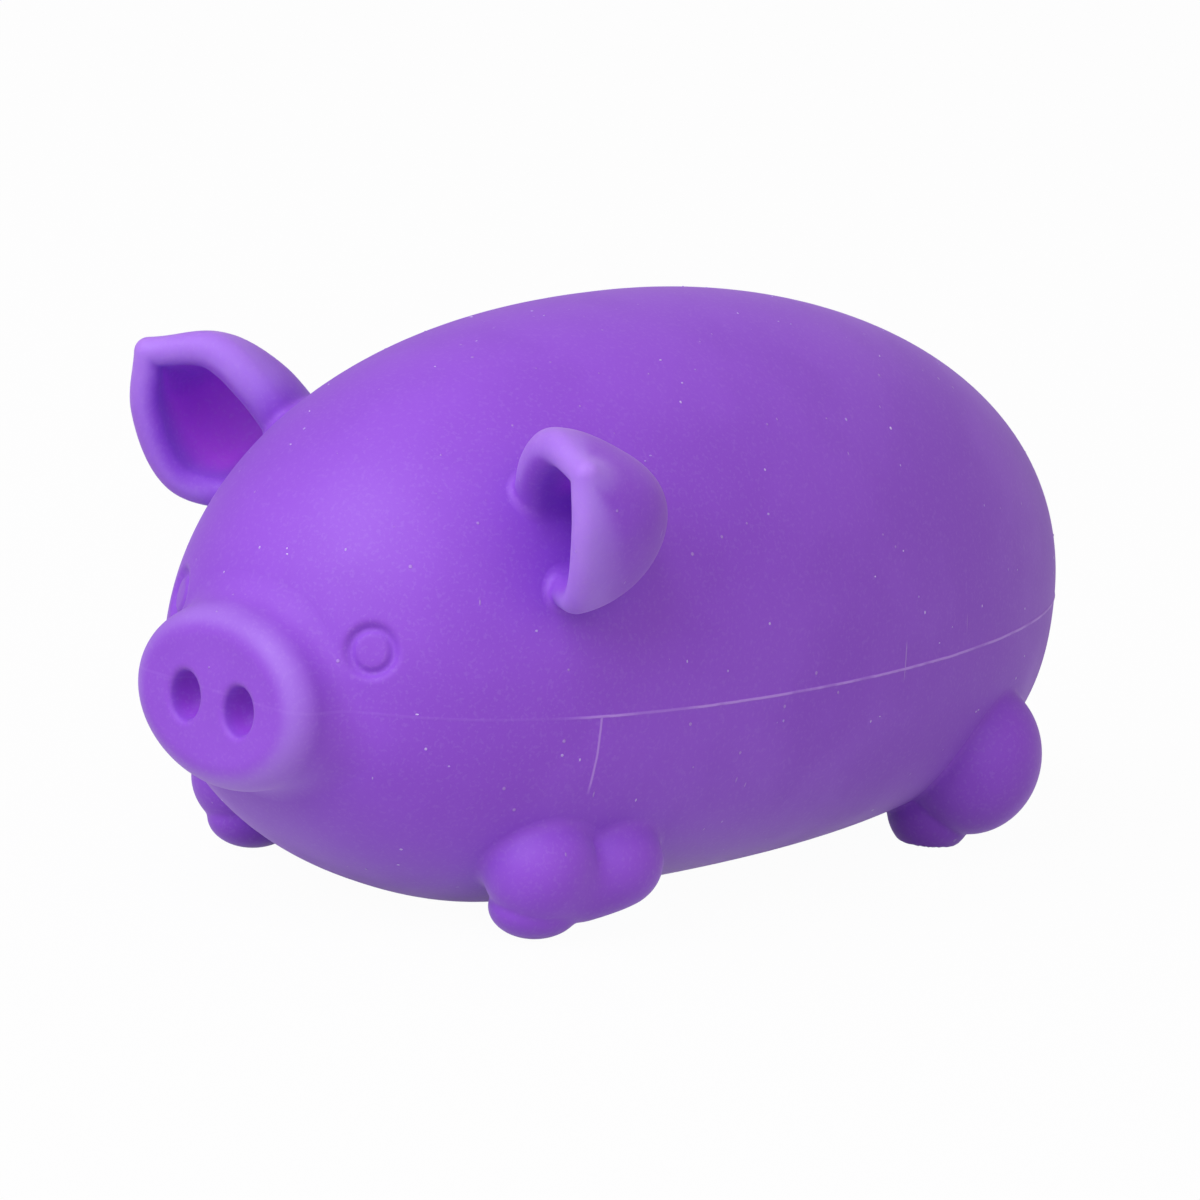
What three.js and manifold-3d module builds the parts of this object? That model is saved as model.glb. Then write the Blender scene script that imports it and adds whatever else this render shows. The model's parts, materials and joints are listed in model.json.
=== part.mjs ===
// A dough-filled squeeze toy in soft rubber, shaped as a lying pig. Millimetres, +Z up, face towards -Y,
// the toy's left side towards +X. While it is shaped, y = 0 is the widest place of the body and z = 0 is the
// parting plane of its mould. At the end the toy is stood on z = 0 and centred along its length.
import * as THREE from "three";
import { mergeVertices } from "three/addons/utils/BufferGeometryUtils.js";
import Module from "manifold-3d";

const wasm = await Module();
wasm.setup();

// Body: an egg that lies on its side
const BODY_FRONT = 40.6;
const BODY_REAR = 59.4;
const BODY_HALF_WIDTH = 24.1;
const BACK_HEIGHT = 30;
const BACK_PEAK_Y = 6;
const BELLY_DEPTH = 20.9;
const BELLY_PEAK_Y = -15;
const BELLY_FLAT_DEPTH = 0.5;

// How full each outline of the body is: 2 is an ellipse, more is boxier
const PLAN_FRONT_FULLNESS = 2.47;
const PLAN_REAR_FULLNESS = 1.86;
const BACK_FRONT_FULLNESS = 2.31;
const BACK_REAR_FULLNESS = 1.97;
const BELLY_FRONT_FULLNESS = 1.87;
const BELLY_REAR_FULLNESS = 3.33;
const BACK_SECTION_FULLNESS = 2.02;
const BELLY_SECTION_FULLNESS = 2.29;

// Skin: its wall, the clearance between neighbours, and where the folding flank ends
const SKIN_WALL = 2.5;
const GAP = 0.3;
const FLANK_HEIGHT = 8.6;
const BROW_HEIGHT = 17.5;
const BROW_Y = -28.5;

// Snout: an oval plug whose face stands a little before the front of the body
const SNOUT_REACH = 3.5;
const SNOUT_LENGTH = 9.5;
const SNOUT_HALF_WIDTH = 10.1;
const SNOUT_HALF_HEIGHT = 8.1;
const SNOUT_HEIGHT = -0.9;
const SNOUT_RIM = 2.2;
const SNOUT_TRAVEL = 3;
const NOSTRIL_SPACING = 6.8;
const NOSTRIL_HEIGHT = -0.3;
const NOSTRIL_HALF_WIDTH = 1.6;
const NOSTRIL_HALF_HEIGHT = 2.2;
const NOSTRIL_DEPTH = 2.8;

// Eyes: a ring groove round a flat floor
const EYE_Y = -37.1;
const EYE_HEIGHT = 5.4;
const EYE_RADIUS = 2.1;
const EYE_GROOVE = 0.5;
const EYE_SINK = 0.2;

// Ears: cupped leaves. Each profile point is forward, outward and upward of the root's centre
const EAR_Y = -18.7;
const EAR_ANGLE = 0.62;
const EAR_ROOT_RADIUS = 7.5;
const EAR_THICKNESS = 2.8;
const EAR_TIP_THICKNESS = 1.8;
const EAR_REACH = 12.9;
const EAR_UPPER_RIM = [[4.6, -1, 4.2], [4.3, 4.8, 5.8], [4.3, 8.9, 5]];
const EAR_KEEL = [[-4.4, -1, -0.4], [-3.9, 4, -0.6], [-1.2, 9, -0.4]];
const EAR_LOWER_RIM = [[5.5, -1, -4.6], [6.5, 3.8, -6.1], [7, 9.3, -3]];
const EAR_TIP = [5.8, EAR_REACH, 1.1];
const EAR_CLEARANCE = 2.2;

// Feet: rounded lobes round a root that stands a rise above the floor. Each lobe of a left foot is where its
// centre lies from the root's, outward, backward and upward, and then its three radii
const FRONT_FOOT_Y = -17.2;
const FRONT_FOOT_RISE = 6.6;
const FRONT_FOOT_LOBES = [
  [1.6, -1.3, -0.5, 5.4, 6, 4.7],
  [-1.2, -3.6, -2.6, 4, 4.5, 4.4],
  [0.5, 4.4, 1, 4, 4.6, 4],
];
const REAR_FOOT_Y = 38.6;
const REAR_FOOT_RISE = 7.2;
const REAR_FOOT_LOBES = [
  [0.2, 0.4, 1, 6.3, 6.5, 7.1],
  [-0.3, -3.5, -3.4, 3.8, 3.8, 4.2],
];
const FOOT_ROOT_RADIUS = 6.4;
const FOOT_CLEARANCE = 2;

// Tail: one curl of round cord on a small disc at the top of the rump
const TAIL_HEIGHT = -2;
const TAIL_ROOT_RADIUS = 2.4;
const TAIL_CORD_RADIUS = 1.2;
const TAIL_CURL_RADIUS = 2.2;
const TAIL_REACH = 3.4;
const TAIL_CLEARANCE = 1;

// Filling port: a mushroom plug from inside, under the belly
const PLUG_Y = 10;
const PLUG_RADIUS = 4;
const PLUG_FLANGE_RADIUS = 6;
const PLUG_FLANGE_THICKNESS = 1.2;
const PLUG_RECESS = 0.8;

// Fineness of the facets
const BODY_STATIONS = 15;
const BODY_SIDES = 20;
const LINING_STATIONS = 10;
const LINING_SIDES = 12;
const ROOT_SIDES = 14;
const LOBE_SIDES = 10;
const TAIL_ROOT_SIDES = 12;
const WELD = 0.05;

const FLOOR = BELLY_FLAT_DEPTH - BELLY_DEPTH;
const FAR = 3 * (BODY_FRONT + BODY_REAR);

// Share of the full half size that an outline of the body keeps at a place along its length.
function outline(y, peak, front, rear, frontFullness, rearFullness) {
  const fullness = y < peak ? frontFullness : rearFullness;
  const span = y < peak ? front + peak : rear - peak;
  const share = Math.min(1, Math.abs(y - peak) / span);
  return (1 - share ** fullness) ** (1 / fullness);
}

// A point of the body's surface, or of the same surface moved inwards by inset. Angle 0 is the left side.
function bodyPoint(y, angle, inset = 0) {
  const front = BODY_FRONT - inset;
  const rear = BODY_REAR - inset;
  const above = Math.sin(angle) > 0;
  const width = (BODY_HALF_WIDTH - inset)
    * outline(y, 0, front, rear, PLAN_FRONT_FULLNESS, PLAN_REAR_FULLNESS);
  const height = above
    ? (BACK_HEIGHT - inset) * outline(y, BACK_PEAK_Y, front, rear, BACK_FRONT_FULLNESS, BACK_REAR_FULLNESS)
    : (BELLY_DEPTH - inset) * outline(y, BELLY_PEAK_Y, front, rear, BELLY_FRONT_FULLNESS, BELLY_REAR_FULLNESS);
  const power = 2 / (above ? BACK_SECTION_FULLNESS : BELLY_SECTION_FULLNESS);
  const bulge = (value) => Math.sign(value) * Math.abs(value) ** power;
  return new THREE.Vector3(width * bulge(Math.cos(angle)), y, height * bulge(Math.sin(angle)));
}

// The angle at which the left side of the body reaches a height, at a place along its length.
function angleAtHeight(y, height) {
  let low = -Math.PI / 2;
  let high = Math.PI / 2;
  for (let turn = 0; turn < 40; turn++) {
    const middle = (low + high) / 2;
    if (bodyPoint(y, middle).z < height) low = middle;
    else high = middle;
  }
  return (low + high) / 2;
}

// The frame of a root on the left side: x forward along the skin, y out of the skin, z up along the skin.
function rootFrame(y, angle) {
  const step = 0.01;
  const along = bodyPoint(y + step, angle).sub(bodyPoint(y - step, angle));
  const around = bodyPoint(y, angle + step).sub(bodyPoint(y, angle - step));
  const outward = along.cross(around).normalize();
  const forward = new THREE.Vector3(0, -1, 0).projectOnPlane(outward).normalize();
  const upward = forward.clone().cross(outward);
  return new THREE.Matrix4().makeBasis(forward, outward, upward).setPosition(bodyPoint(y, angle));
}

// A closed surface through rings of points, with a point that closes each end.
function loft(rings, start, end) {
  const count = rings[0].length;
  const points = [start, ...rings.flat(), end];
  const at = (ring, i) => 1 + ring * count + (i % count);
  const faces = [];
  for (let i = 0; i < count; i++) {
    faces.push(0, at(0, i), at(0, i + 1));
    for (let ring = 0; ring + 1 < rings.length; ring++) {
      faces.push(at(ring, i), at(ring + 1, i), at(ring + 1, i + 1));
      faces.push(at(ring, i), at(ring + 1, i + 1), at(ring, i + 1));
    }
    faces.push(points.length - 1, at(rings.length - 1, i + 1), at(rings.length - 1, i));
  }
  return new THREE.BufferGeometry().setFromPoints(points).setIndex(faces);
}

// The body's egg, moved inwards by inset.
function eggGeometry(inset, stations, sides) {
  const rings = [];
  for (let i = 1; i < stations; i++) {
    const share = -Math.cos((Math.PI * i) / stations);
    const y = share * (share < 0 ? BODY_FRONT - inset : BODY_REAR - inset);
    rings.push(Array.from({ length: sides }, (_, j) => bodyPoint(y, (2 * Math.PI * j) / sides, inset)));
  }
  return loft(rings, new THREE.Vector3(0, inset - BODY_FRONT, 0), new THREE.Vector3(0, BODY_REAR - inset, 0));
}

// A closed geometry as a solid that can be joined and cut, right side out whichever way its profile ran.
function solidOf(geometry) {
  const bare = geometry.clone();
  bare.deleteAttribute("normal");
  bare.deleteAttribute("uv");
  const merged = mergeVertices(bare, 1e-4);
  const vertProperties = new Float32Array(merged.attributes.position.array);
  const triVerts = new Uint32Array(merged.index.array);
  const weld = (corners) => new wasm.Manifold(
    new wasm.Mesh({ numProp: 3, vertProperties, triVerts: corners, tolerance: WELD }));
  const solid = weld(triVerts);
  return solid.volume() > 0 ? solid : weld(triVerts.reverse());
}

// A solid back as a geometry.
function geometryOf(solid) {
  const mesh = solid.getMesh();
  const geometry = new THREE.BufferGeometry();
  geometry.setAttribute("position", new THREE.BufferAttribute(new Float32Array(mesh.vertProperties), 3));
  geometry.setIndex(new THREE.BufferAttribute(new Uint32Array(mesh.triVerts), 1));
  geometry.computeVertexNormals();
  return geometry;
}

// The same solid on the other side of the toy.
function mirrored(solid) {
  return solidOf(geometryOf(solid).scale(-1, 1, 1));
}

function block(low, high) {
  const size = high.map((value, i) => value - low[i]);
  const middle = high.map((value, i) => (value + low[i]) / 2);
  return solidOf(new THREE.BoxGeometry(...size).translate(...middle));
}

function ellipsoid(centre, radii, sides) {
  const ball = new THREE.SphereGeometry(1, sides, Math.round(0.6 * sides)).rotateY(Math.PI / 2);
  return solidOf(ball.scale(...radii).translate(...centre));
}

function sphere(centre, radius, sides) {
  return ellipsoid(centre, [radius, radius, radius], sides);
}

// Egg solids that several pieces share
const body = solidOf(eggGeometry(0, BODY_STATIONS, BODY_SIDES))
  .subtract(block([-FAR, -FAR, -FAR], [FAR, FAR, FLOOR]));
const lining = solidOf(eggGeometry(SKIN_WALL, LINING_STATIONS, LINING_SIDES));
const wall = body.subtract(lining);

// The middle of the wall under a root, which its hinge passes through
function pivotOf(frame) {
  return new THREE.Vector3(0, -SKIN_WALL / 2, 0).applyMatrix4(frame);
}

// What stands out of the skin, joined to a disc of the wall with a ball-shaped edge. Beyond the ball it keeps
// the clearance over the skin that its swing needs.
function rootedPiece(form, frame, rootRadius, clearance, sides = ROOT_SIDES) {
  const root = sphere(pivotOf(frame).toArray(), rootRadius, sides);
  const around = solidOf(eggGeometry(-clearance, LINING_STATIONS, LINING_SIDES)).subtract(root);
  return form.subtract(around).subtract(lining).add(root.intersect(wall));
}

// The round port in the skin for a root.
function rootPort(frame, rootRadius, sides = ROOT_SIDES) {
  return sphere(pivotOf(frame).toArray(), rootRadius + GAP, sides);
}

// Ear: a wall whose middle surface is, at each station, half an ellipse from one rim over the keel to the
// other rim, and which narrows to the tip.
function earForm(frame) {
  const stations = 6;
  const arcs = 7;
  const curveTo = (points) => new THREE.CatmullRomCurve3(
    [...points, EAR_TIP].map((p) => new THREE.Vector3(...p)), false, "centripetal");
  const upper = curveTo(EAR_UPPER_RIM);
  const keel = curveTo(EAR_KEEL);
  const lower = curveTo(EAR_LOWER_RIM);
  const middlePoint = (share, turn) => {
    const a = upper.getPoint(share);
    const b = lower.getPoint(share);
    const centre = a.clone().add(b).multiplyScalar(0.5);
    const across = a.sub(centre);
    const deep = keel.getPoint(share).sub(centre);
    return centre.addScaledVector(across, Math.cos(turn)).addScaledVector(deep, Math.sin(turn));
  };
  const rings = [];
  for (let i = 0; i < stations; i++) {
    const share = (0.93 * i) / (stations - 1);
    const half = THREE.MathUtils.lerp(EAR_THICKNESS, EAR_TIP_THICKNESS, share ** 2) / 2;
    const outer = [];
    const inner = [];
    for (let j = 0; j <= arcs; j++) {
      const turn = (Math.PI * j) / arcs;
      const here = middlePoint(share, turn);
      const across = middlePoint(share, turn + 0.01).sub(middlePoint(share, turn - 0.01));
      const along = middlePoint(share + 0.01, turn).sub(middlePoint(Math.max(0, share - 0.01), turn));
      const normal = along.cross(across).normalize().multiplyScalar(half);
      outer.push(here.clone().add(normal));
      inner.push(here.clone().sub(normal));
    }
    const rim = (turn, way) => {
      const edge = middlePoint(share, turn);
      const next = middlePoint(share, turn + way * 0.05);
      return edge.clone().addScaledVector(next.sub(edge).normalize(), -half);
    };
    rings.push([...outer, rim(Math.PI, -1), ...inner.reverse(), rim(0, 1)]);
  }
  const tip = new THREE.Vector3(...EAR_TIP);
  const root = new THREE.Vector3(0, -SKIN_WALL, 0);
  return solidOf(loft(rings, root, tip).applyMatrix4(frame));
}

const earFrame = rootFrame(EAR_Y, EAR_ANGLE);
const earLeft = rootedPiece(earForm(earFrame), earFrame, EAR_ROOT_RADIUS, EAR_CLEARANCE);

// The frame of a foot's root, a rise above the floor.
function footFrame(y, rise) {
  return rootFrame(y, angleAtHeight(y, FLOOR + rise));
}

// Foot: lobes in one, standing flat on the floor.
function foot(frame, lobes) {
  const centre = new THREE.Vector3().setFromMatrixPosition(frame);
  const [first, ...others] = lobes.map(([x, y, z, ...radii]) => (
    ellipsoid([centre.x + x, centre.y + y, centre.z + z], radii, LOBE_SIDES)));
  const form = others.reduce((sum, lobe) => sum.add(lobe), first);
  return rootedPiece(form, frame, FOOT_ROOT_RADIUS, FOOT_CLEARANCE)
    .subtract(block([-FAR, -FAR, -FAR], [FAR, FAR, FLOOR]));
}

const frontFootFrame = footFrame(FRONT_FOOT_Y, FRONT_FOOT_RISE);
const rearFootFrame = footFrame(REAR_FOOT_Y, REAR_FOOT_RISE);
const footFrontLeft = foot(frontFootFrame, FRONT_FOOT_LOBES);
const footRearLeft = foot(rearFootFrame, REAR_FOOT_LOBES);

// Tail: a round cord that leaves the rump and makes one curl
const tailFrame = new THREE.Matrix4()
  .makeBasis(new THREE.Vector3(0, 0, 1), new THREE.Vector3(0, 1, 0), new THREE.Vector3(-1, 0, 0))
  .setPosition(0, BODY_REAR, TAIL_HEIGHT);

class TailPath extends THREE.Curve {
  getPoint(share, target = new THREE.Vector3()) {
    const turn = 2 * Math.PI * 1.1 * share;
    const radius = TAIL_CURL_RADIUS * Math.min(1, 0.35 + share);
    const out = -SKIN_WALL / 2 + (TAIL_REACH - TAIL_CORD_RADIUS + SKIN_WALL / 2) * Math.min(1, 1.6 * share);
    return target.set(radius * Math.sin(turn), out, radius * (1 - Math.cos(turn)) - radius);
  }
}

function tailSolid() {
  const section = new THREE.Shape().absarc(0, 0, TAIL_CORD_RADIUS, 0, 2 * Math.PI);
  const path = new TailPath();
  const cord = solidOf(new THREE.ExtrudeGeometry(section, { steps: 9, curveSegments: 3, extrudePath: path }));
  const end = path.getPoint(1).toArray();
  const form = cord.add(sphere(end, TAIL_CORD_RADIUS, 8));
  const placed = solidOf(geometryOf(form).applyMatrix4(tailFrame));
  return rootedPiece(placed, tailFrame, TAIL_ROOT_RADIUS, TAIL_CLEARANCE, TAIL_ROOT_SIDES);
}

// Snout: an oval plug with a rounded rim. Its port in the skin adds a clearance, grown, and its travel.
function snoutForm(grown, travel = 0) {
  const front = -BODY_FRONT - SNOUT_REACH - grown;
  const back = -BODY_FRONT - SNOUT_REACH + SNOUT_LENGTH + grown + travel;
  const radius = SNOUT_HALF_WIDTH + grown;
  const profile = [new THREE.Vector2(0, back), new THREE.Vector2(radius, back)];
  const rimSteps = 3;
  for (let i = 0; i <= rimSteps; i++) {
    const turn = (Math.PI * i) / (2 * rimSteps);
    profile.push(new THREE.Vector2(
      radius - SNOUT_RIM * (1 - Math.cos(turn)), front + SNOUT_RIM * (1 - Math.sin(turn))));
  }
  profile.push(new THREE.Vector2(0, front));
  const oval = new THREE.LatheGeometry(profile, 22);
  oval.scale(1, 1, (SNOUT_HALF_HEIGHT + grown) / radius).translate(0, 0, SNOUT_HEIGHT);
  return solidOf(oval);
}

function snoutSolid() {
  const face = -BODY_FRONT - SNOUT_REACH;
  const radii = [NOSTRIL_HALF_WIDTH, NOSTRIL_DEPTH, NOSTRIL_HALF_HEIGHT];
  return [-1, 1].reduce((snout, side) => snout.subtract(
    ellipsoid([(side * NOSTRIL_SPACING) / 2, face, SNOUT_HEIGHT + NOSTRIL_HEIGHT], radii, 12)), snoutForm(0));
}

// Plug: a mushroom whose head lies inside the skin. Grown is the clearance of its port.
function plugForm(grown) {
  const bottom = FLOOR + PLUG_RECESS - (grown ? FAR : 0);
  const seat = SKIN_WALL - BELLY_DEPTH + GAP - grown;
  const top = SKIN_WALL - BELLY_DEPTH + GAP + PLUG_FLANGE_THICKNESS + grown;
  const profile = [
    [0, bottom], [PLUG_RADIUS + grown, bottom], [PLUG_RADIUS + grown, seat],
    [PLUG_FLANGE_RADIUS + grown, seat], [PLUG_FLANGE_RADIUS + grown, top], [0, top],
  ].map(([x, y]) => new THREE.Vector2(x, y));
  return solidOf(new THREE.LatheGeometry(profile, ROOT_SIDES).rotateX(Math.PI / 2).translate(0, PLUG_Y, 0));
}

// Eye: a ring groove in the skin round a raised floor, square to the skin
function eyeGroove() {
  const frame = rootFrame(EYE_Y, angleAtHeight(EYE_Y, EYE_HEIGHT));
  const ring = new THREE.TorusGeometry(EYE_RADIUS, EYE_GROOVE, 6, 16)
    .rotateX(Math.PI / 2)
    .translate(0, -EYE_SINK, 0);
  return solidOf(ring.applyMatrix4(frame));
}

// Ports for everything that passes through the skin
const eye = eyeGroove();
const ports = [
  rootPort(earFrame, EAR_ROOT_RADIUS),
  rootPort(frontFootFrame, FOOT_ROOT_RADIUS),
  rootPort(rearFootFrame, FOOT_ROOT_RADIUS),
  eye,
].flatMap((port) => [port, mirrored(port)]);
ports.push(
  rootPort(tailFrame, TAIL_ROOT_RADIUS, TAIL_ROOT_SIDES),
  snoutForm(GAP, SNOUT_TRAVEL),
  plugForm(GAP),
);
const skin = ports.reduce((solid, port) => solid.subtract(port), wall);

// The skin comes apart along the parting plane, the top of the flank and the brow
const bellySpace = block([-FAR, -FAR, -FAR], [FAR, FAR, -GAP / 2]);
const flankSpace = block([-FAR, -FAR, GAP / 2], [FAR, FAR, FLANK_HEIGHT - GAP / 2])
  .add(block([-FAR, -FAR, GAP / 2], [FAR, BROW_Y - GAP / 2, BROW_HEIGHT - GAP / 2]));
const backSpace = block([-FAR, -FAR, FLANK_HEIGHT + GAP / 2], [FAR, FAR, FAR])
  .subtract(block([-FAR, -FAR, -FAR], [FAR, BROW_Y + GAP / 2, BROW_HEIGHT + GAP / 2]));

const dough = solidOf(eggGeometry(SKIN_WALL + GAP, LINING_STATIONS, LINING_SIDES))
  .subtract(snoutForm(GAP))
  .subtract(plugForm(GAP));

// Rubber of the skin, and the dough inside it
const rubber = new THREE.MeshStandardMaterial({ color: 0x8f55dc, roughness: 0.5, metalness: 0 });
const earRubber = new THREE.MeshStandardMaterial({ color: 0x9c66e4, roughness: 0.5, metalness: 0 });
const plugRubber = new THREE.MeshStandardMaterial({ color: 0x7a43c8, roughness: 0.6, metalness: 0 });
const paste = new THREE.MeshStandardMaterial({ color: 0xe9e2d2, roughness: 0.9, metalness: 0 });

const toy = new THREE.Group();
const pieces = {
  skin_belly: [skin.intersect(bellySpace), rubber],
  skin_flank: [skin.intersect(flankSpace), rubber],
  skin_back: [skin.intersect(backSpace), rubber],
  dough_filling: [dough, paste],
  fill_plug: [plugForm(0), plugRubber],
  snout: [snoutSolid(), rubber],
  ear_left: [earLeft, earRubber],
  ear_right: [mirrored(earLeft), earRubber],
  foot_front_left: [footFrontLeft, rubber],
  foot_front_right: [mirrored(footFrontLeft), rubber],
  foot_rear_left: [footRearLeft, rubber],
  foot_rear_right: [mirrored(footRearLeft), rubber],
  tail: [tailSolid(), rubber],
};
for (const [name, [solid, material]] of Object.entries(pieces)) {
  const mesh = new THREE.Mesh(geometryOf(solid), material);
  mesh.name = name;
  toy.add(mesh);
}

// Stand the toy on the floor, with its length centred on the origin
const box = new THREE.Box3().setFromObject(toy);
toy.position.set(0, -(box.min.y + box.max.y) / 2, -FLOOR);

export default toy;
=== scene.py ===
"""Pig squishy toy: a dough-filled violet rubber toy, dressed over its CAD frame.

Sizes are millimetres in the shaping frame: y = 0 at the widest place, z = 0 on the mould's parting plane,
the face towards -Y and the toy's left towards +X. to_shared() turns them to metres in the shared frame.
"""

import json
import logging
import math
from collections.abc import Callable, Iterable
from dataclasses import dataclass, field
from enum import Enum

import bmesh
import bpy
import numpy as np
from mathutils import Matrix, Vector
from mathutils.kdtree import KDTree
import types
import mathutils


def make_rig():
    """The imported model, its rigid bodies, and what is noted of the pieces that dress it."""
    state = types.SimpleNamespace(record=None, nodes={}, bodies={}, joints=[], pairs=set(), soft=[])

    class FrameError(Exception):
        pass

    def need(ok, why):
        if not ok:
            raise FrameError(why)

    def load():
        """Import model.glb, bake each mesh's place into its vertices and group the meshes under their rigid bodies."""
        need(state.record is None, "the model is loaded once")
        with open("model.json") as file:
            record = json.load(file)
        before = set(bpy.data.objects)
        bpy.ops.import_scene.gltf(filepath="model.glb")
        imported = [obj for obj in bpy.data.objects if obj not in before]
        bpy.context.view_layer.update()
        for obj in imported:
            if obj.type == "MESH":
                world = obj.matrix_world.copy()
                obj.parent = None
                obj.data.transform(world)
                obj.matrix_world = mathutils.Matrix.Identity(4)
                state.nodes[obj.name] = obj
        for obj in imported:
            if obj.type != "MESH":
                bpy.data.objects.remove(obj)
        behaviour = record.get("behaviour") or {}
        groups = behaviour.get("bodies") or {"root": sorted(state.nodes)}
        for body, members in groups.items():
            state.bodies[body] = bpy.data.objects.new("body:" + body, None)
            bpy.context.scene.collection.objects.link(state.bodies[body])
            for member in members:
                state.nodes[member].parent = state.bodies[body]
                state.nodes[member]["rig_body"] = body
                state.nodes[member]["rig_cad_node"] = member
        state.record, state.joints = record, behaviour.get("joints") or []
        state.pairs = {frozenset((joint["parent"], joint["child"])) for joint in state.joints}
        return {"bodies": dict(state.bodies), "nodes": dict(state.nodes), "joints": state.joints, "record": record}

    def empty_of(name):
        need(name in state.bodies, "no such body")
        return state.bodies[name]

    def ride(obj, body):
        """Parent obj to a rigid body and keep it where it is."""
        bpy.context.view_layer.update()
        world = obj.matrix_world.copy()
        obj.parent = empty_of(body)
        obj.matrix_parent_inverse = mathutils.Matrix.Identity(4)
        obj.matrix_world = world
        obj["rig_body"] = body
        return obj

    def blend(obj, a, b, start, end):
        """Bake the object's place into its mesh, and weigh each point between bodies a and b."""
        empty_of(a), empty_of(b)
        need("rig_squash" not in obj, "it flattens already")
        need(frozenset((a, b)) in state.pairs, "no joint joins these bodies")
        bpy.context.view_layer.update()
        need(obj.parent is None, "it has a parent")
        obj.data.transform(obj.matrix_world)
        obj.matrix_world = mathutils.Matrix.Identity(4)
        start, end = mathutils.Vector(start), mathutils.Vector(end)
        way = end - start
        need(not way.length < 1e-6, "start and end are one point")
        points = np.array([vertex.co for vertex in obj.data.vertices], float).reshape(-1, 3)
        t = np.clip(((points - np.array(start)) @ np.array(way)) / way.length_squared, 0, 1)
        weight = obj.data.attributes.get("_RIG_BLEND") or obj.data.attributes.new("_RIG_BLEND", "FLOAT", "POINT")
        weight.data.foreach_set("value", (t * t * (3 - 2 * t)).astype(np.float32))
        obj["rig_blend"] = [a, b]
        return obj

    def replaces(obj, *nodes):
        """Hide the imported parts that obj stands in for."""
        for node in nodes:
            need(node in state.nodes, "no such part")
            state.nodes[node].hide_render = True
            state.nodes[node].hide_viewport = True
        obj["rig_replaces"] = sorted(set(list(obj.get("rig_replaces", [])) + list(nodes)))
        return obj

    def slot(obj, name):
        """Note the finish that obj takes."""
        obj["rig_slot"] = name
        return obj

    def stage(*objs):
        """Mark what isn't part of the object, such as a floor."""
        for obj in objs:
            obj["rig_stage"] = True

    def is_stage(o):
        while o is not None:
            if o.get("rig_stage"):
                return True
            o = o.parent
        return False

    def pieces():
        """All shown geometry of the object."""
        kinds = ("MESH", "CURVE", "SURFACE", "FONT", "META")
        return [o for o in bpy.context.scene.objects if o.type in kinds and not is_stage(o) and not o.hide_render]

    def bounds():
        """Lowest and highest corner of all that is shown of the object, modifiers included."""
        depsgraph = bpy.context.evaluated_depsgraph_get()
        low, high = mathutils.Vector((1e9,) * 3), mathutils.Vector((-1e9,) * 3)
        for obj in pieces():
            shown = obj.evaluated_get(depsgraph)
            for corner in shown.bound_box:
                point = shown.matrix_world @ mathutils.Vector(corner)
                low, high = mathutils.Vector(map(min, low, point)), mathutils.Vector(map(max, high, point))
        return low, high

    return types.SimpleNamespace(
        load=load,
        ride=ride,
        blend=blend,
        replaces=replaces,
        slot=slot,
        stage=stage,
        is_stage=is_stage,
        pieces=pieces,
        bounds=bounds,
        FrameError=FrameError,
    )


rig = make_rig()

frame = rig.load()
CAD_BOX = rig.bounds()
log = logging.getLogger("squishy")

SHIFT = np.array((0.0, -9.35, 20.4))  # from the shaping frame to the shared frame, in millimetres
SEAM_Y = -27.0  # where the face ends and the rest of the skin starts, between the eyes and the ears
FLASH_FADE = (-24.0, -19.0)  # y between which the parting line fades onto the face
PORT_Y = 10.0  # middle of the filling port along the belly
FOLD_FROM, FOLD_TO = 14.0, 30.0  # heights over the floor between which the skin folds as the back is pressed
FACE_HOLD = 0.08  # share of the fold that the skin loses with each millimetre towards the snout
SKIN_SINK = 0.008  # depth under the skin at which a moulded-on piece leaves it
BACK_FOLD = ((0, 0, FOLD_FROM / 1000), (0, 0, FOLD_TO / 1000))
SMOOTH = {"interpolation_type": "SMOOTHSTEP"}
COLOURS = {"data_type": "RGBA"}

Points = np.ndarray
Distance = Callable[[Points], np.ndarray]
Place = tuple[float, float, float]


def to_shared(point: Iterable[float]) -> Place:
    """A point of the shaping frame, in metres in the shared frame."""
    return tuple(float(v) for v in (np.asarray(point, float) + SHIFT) / 1000)


def to_left(points: Points) -> Points:
    """The points, with those on the toy's right side mirrored to its left."""
    return np.abs(points) * (1, 0, 0) + points * (0, 1, 1)


def linear(code: str) -> tuple[float, float, float, float]:
    """An sRGB hex colour as the linear red, green, blue and 1 that a shader takes."""
    shades = [int(code[i:i + 2], 16) / 255 for i in (0, 2, 4)]
    return (*(s / 12.92 if s <= 0.04045 else ((s + 0.055) / 1.055) ** 2.4 for s in shades), 1.0)


def soft_step(value: np.ndarray, low: float, high: float) -> np.ndarray:
    """0 below low, 1 above high, and a smooth rise between."""
    share = np.clip((value - low) / (high - low), 0, 1)
    return share * share * (3 - 2 * share)


def soft_join(a: np.ndarray, b: np.ndarray, fillet: float) -> np.ndarray:
    """The distance to two forms joined by a fillet that reaches so far from their crease."""
    share = np.clip(1 - np.abs(a - b) / fillet, 0, 1)
    return np.minimum(a, b) - share * share * fillet / 4


def slope(distance: Distance, points: Points, step: float = 0.02) -> Points:
    """How the distance changes along each axis at the points, measured a step to each side."""
    sides = [distance(points + away) - distance(points - away) for away in np.eye(3) * step]
    return np.stack(sides, axis=1) / (2 * step)


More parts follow.
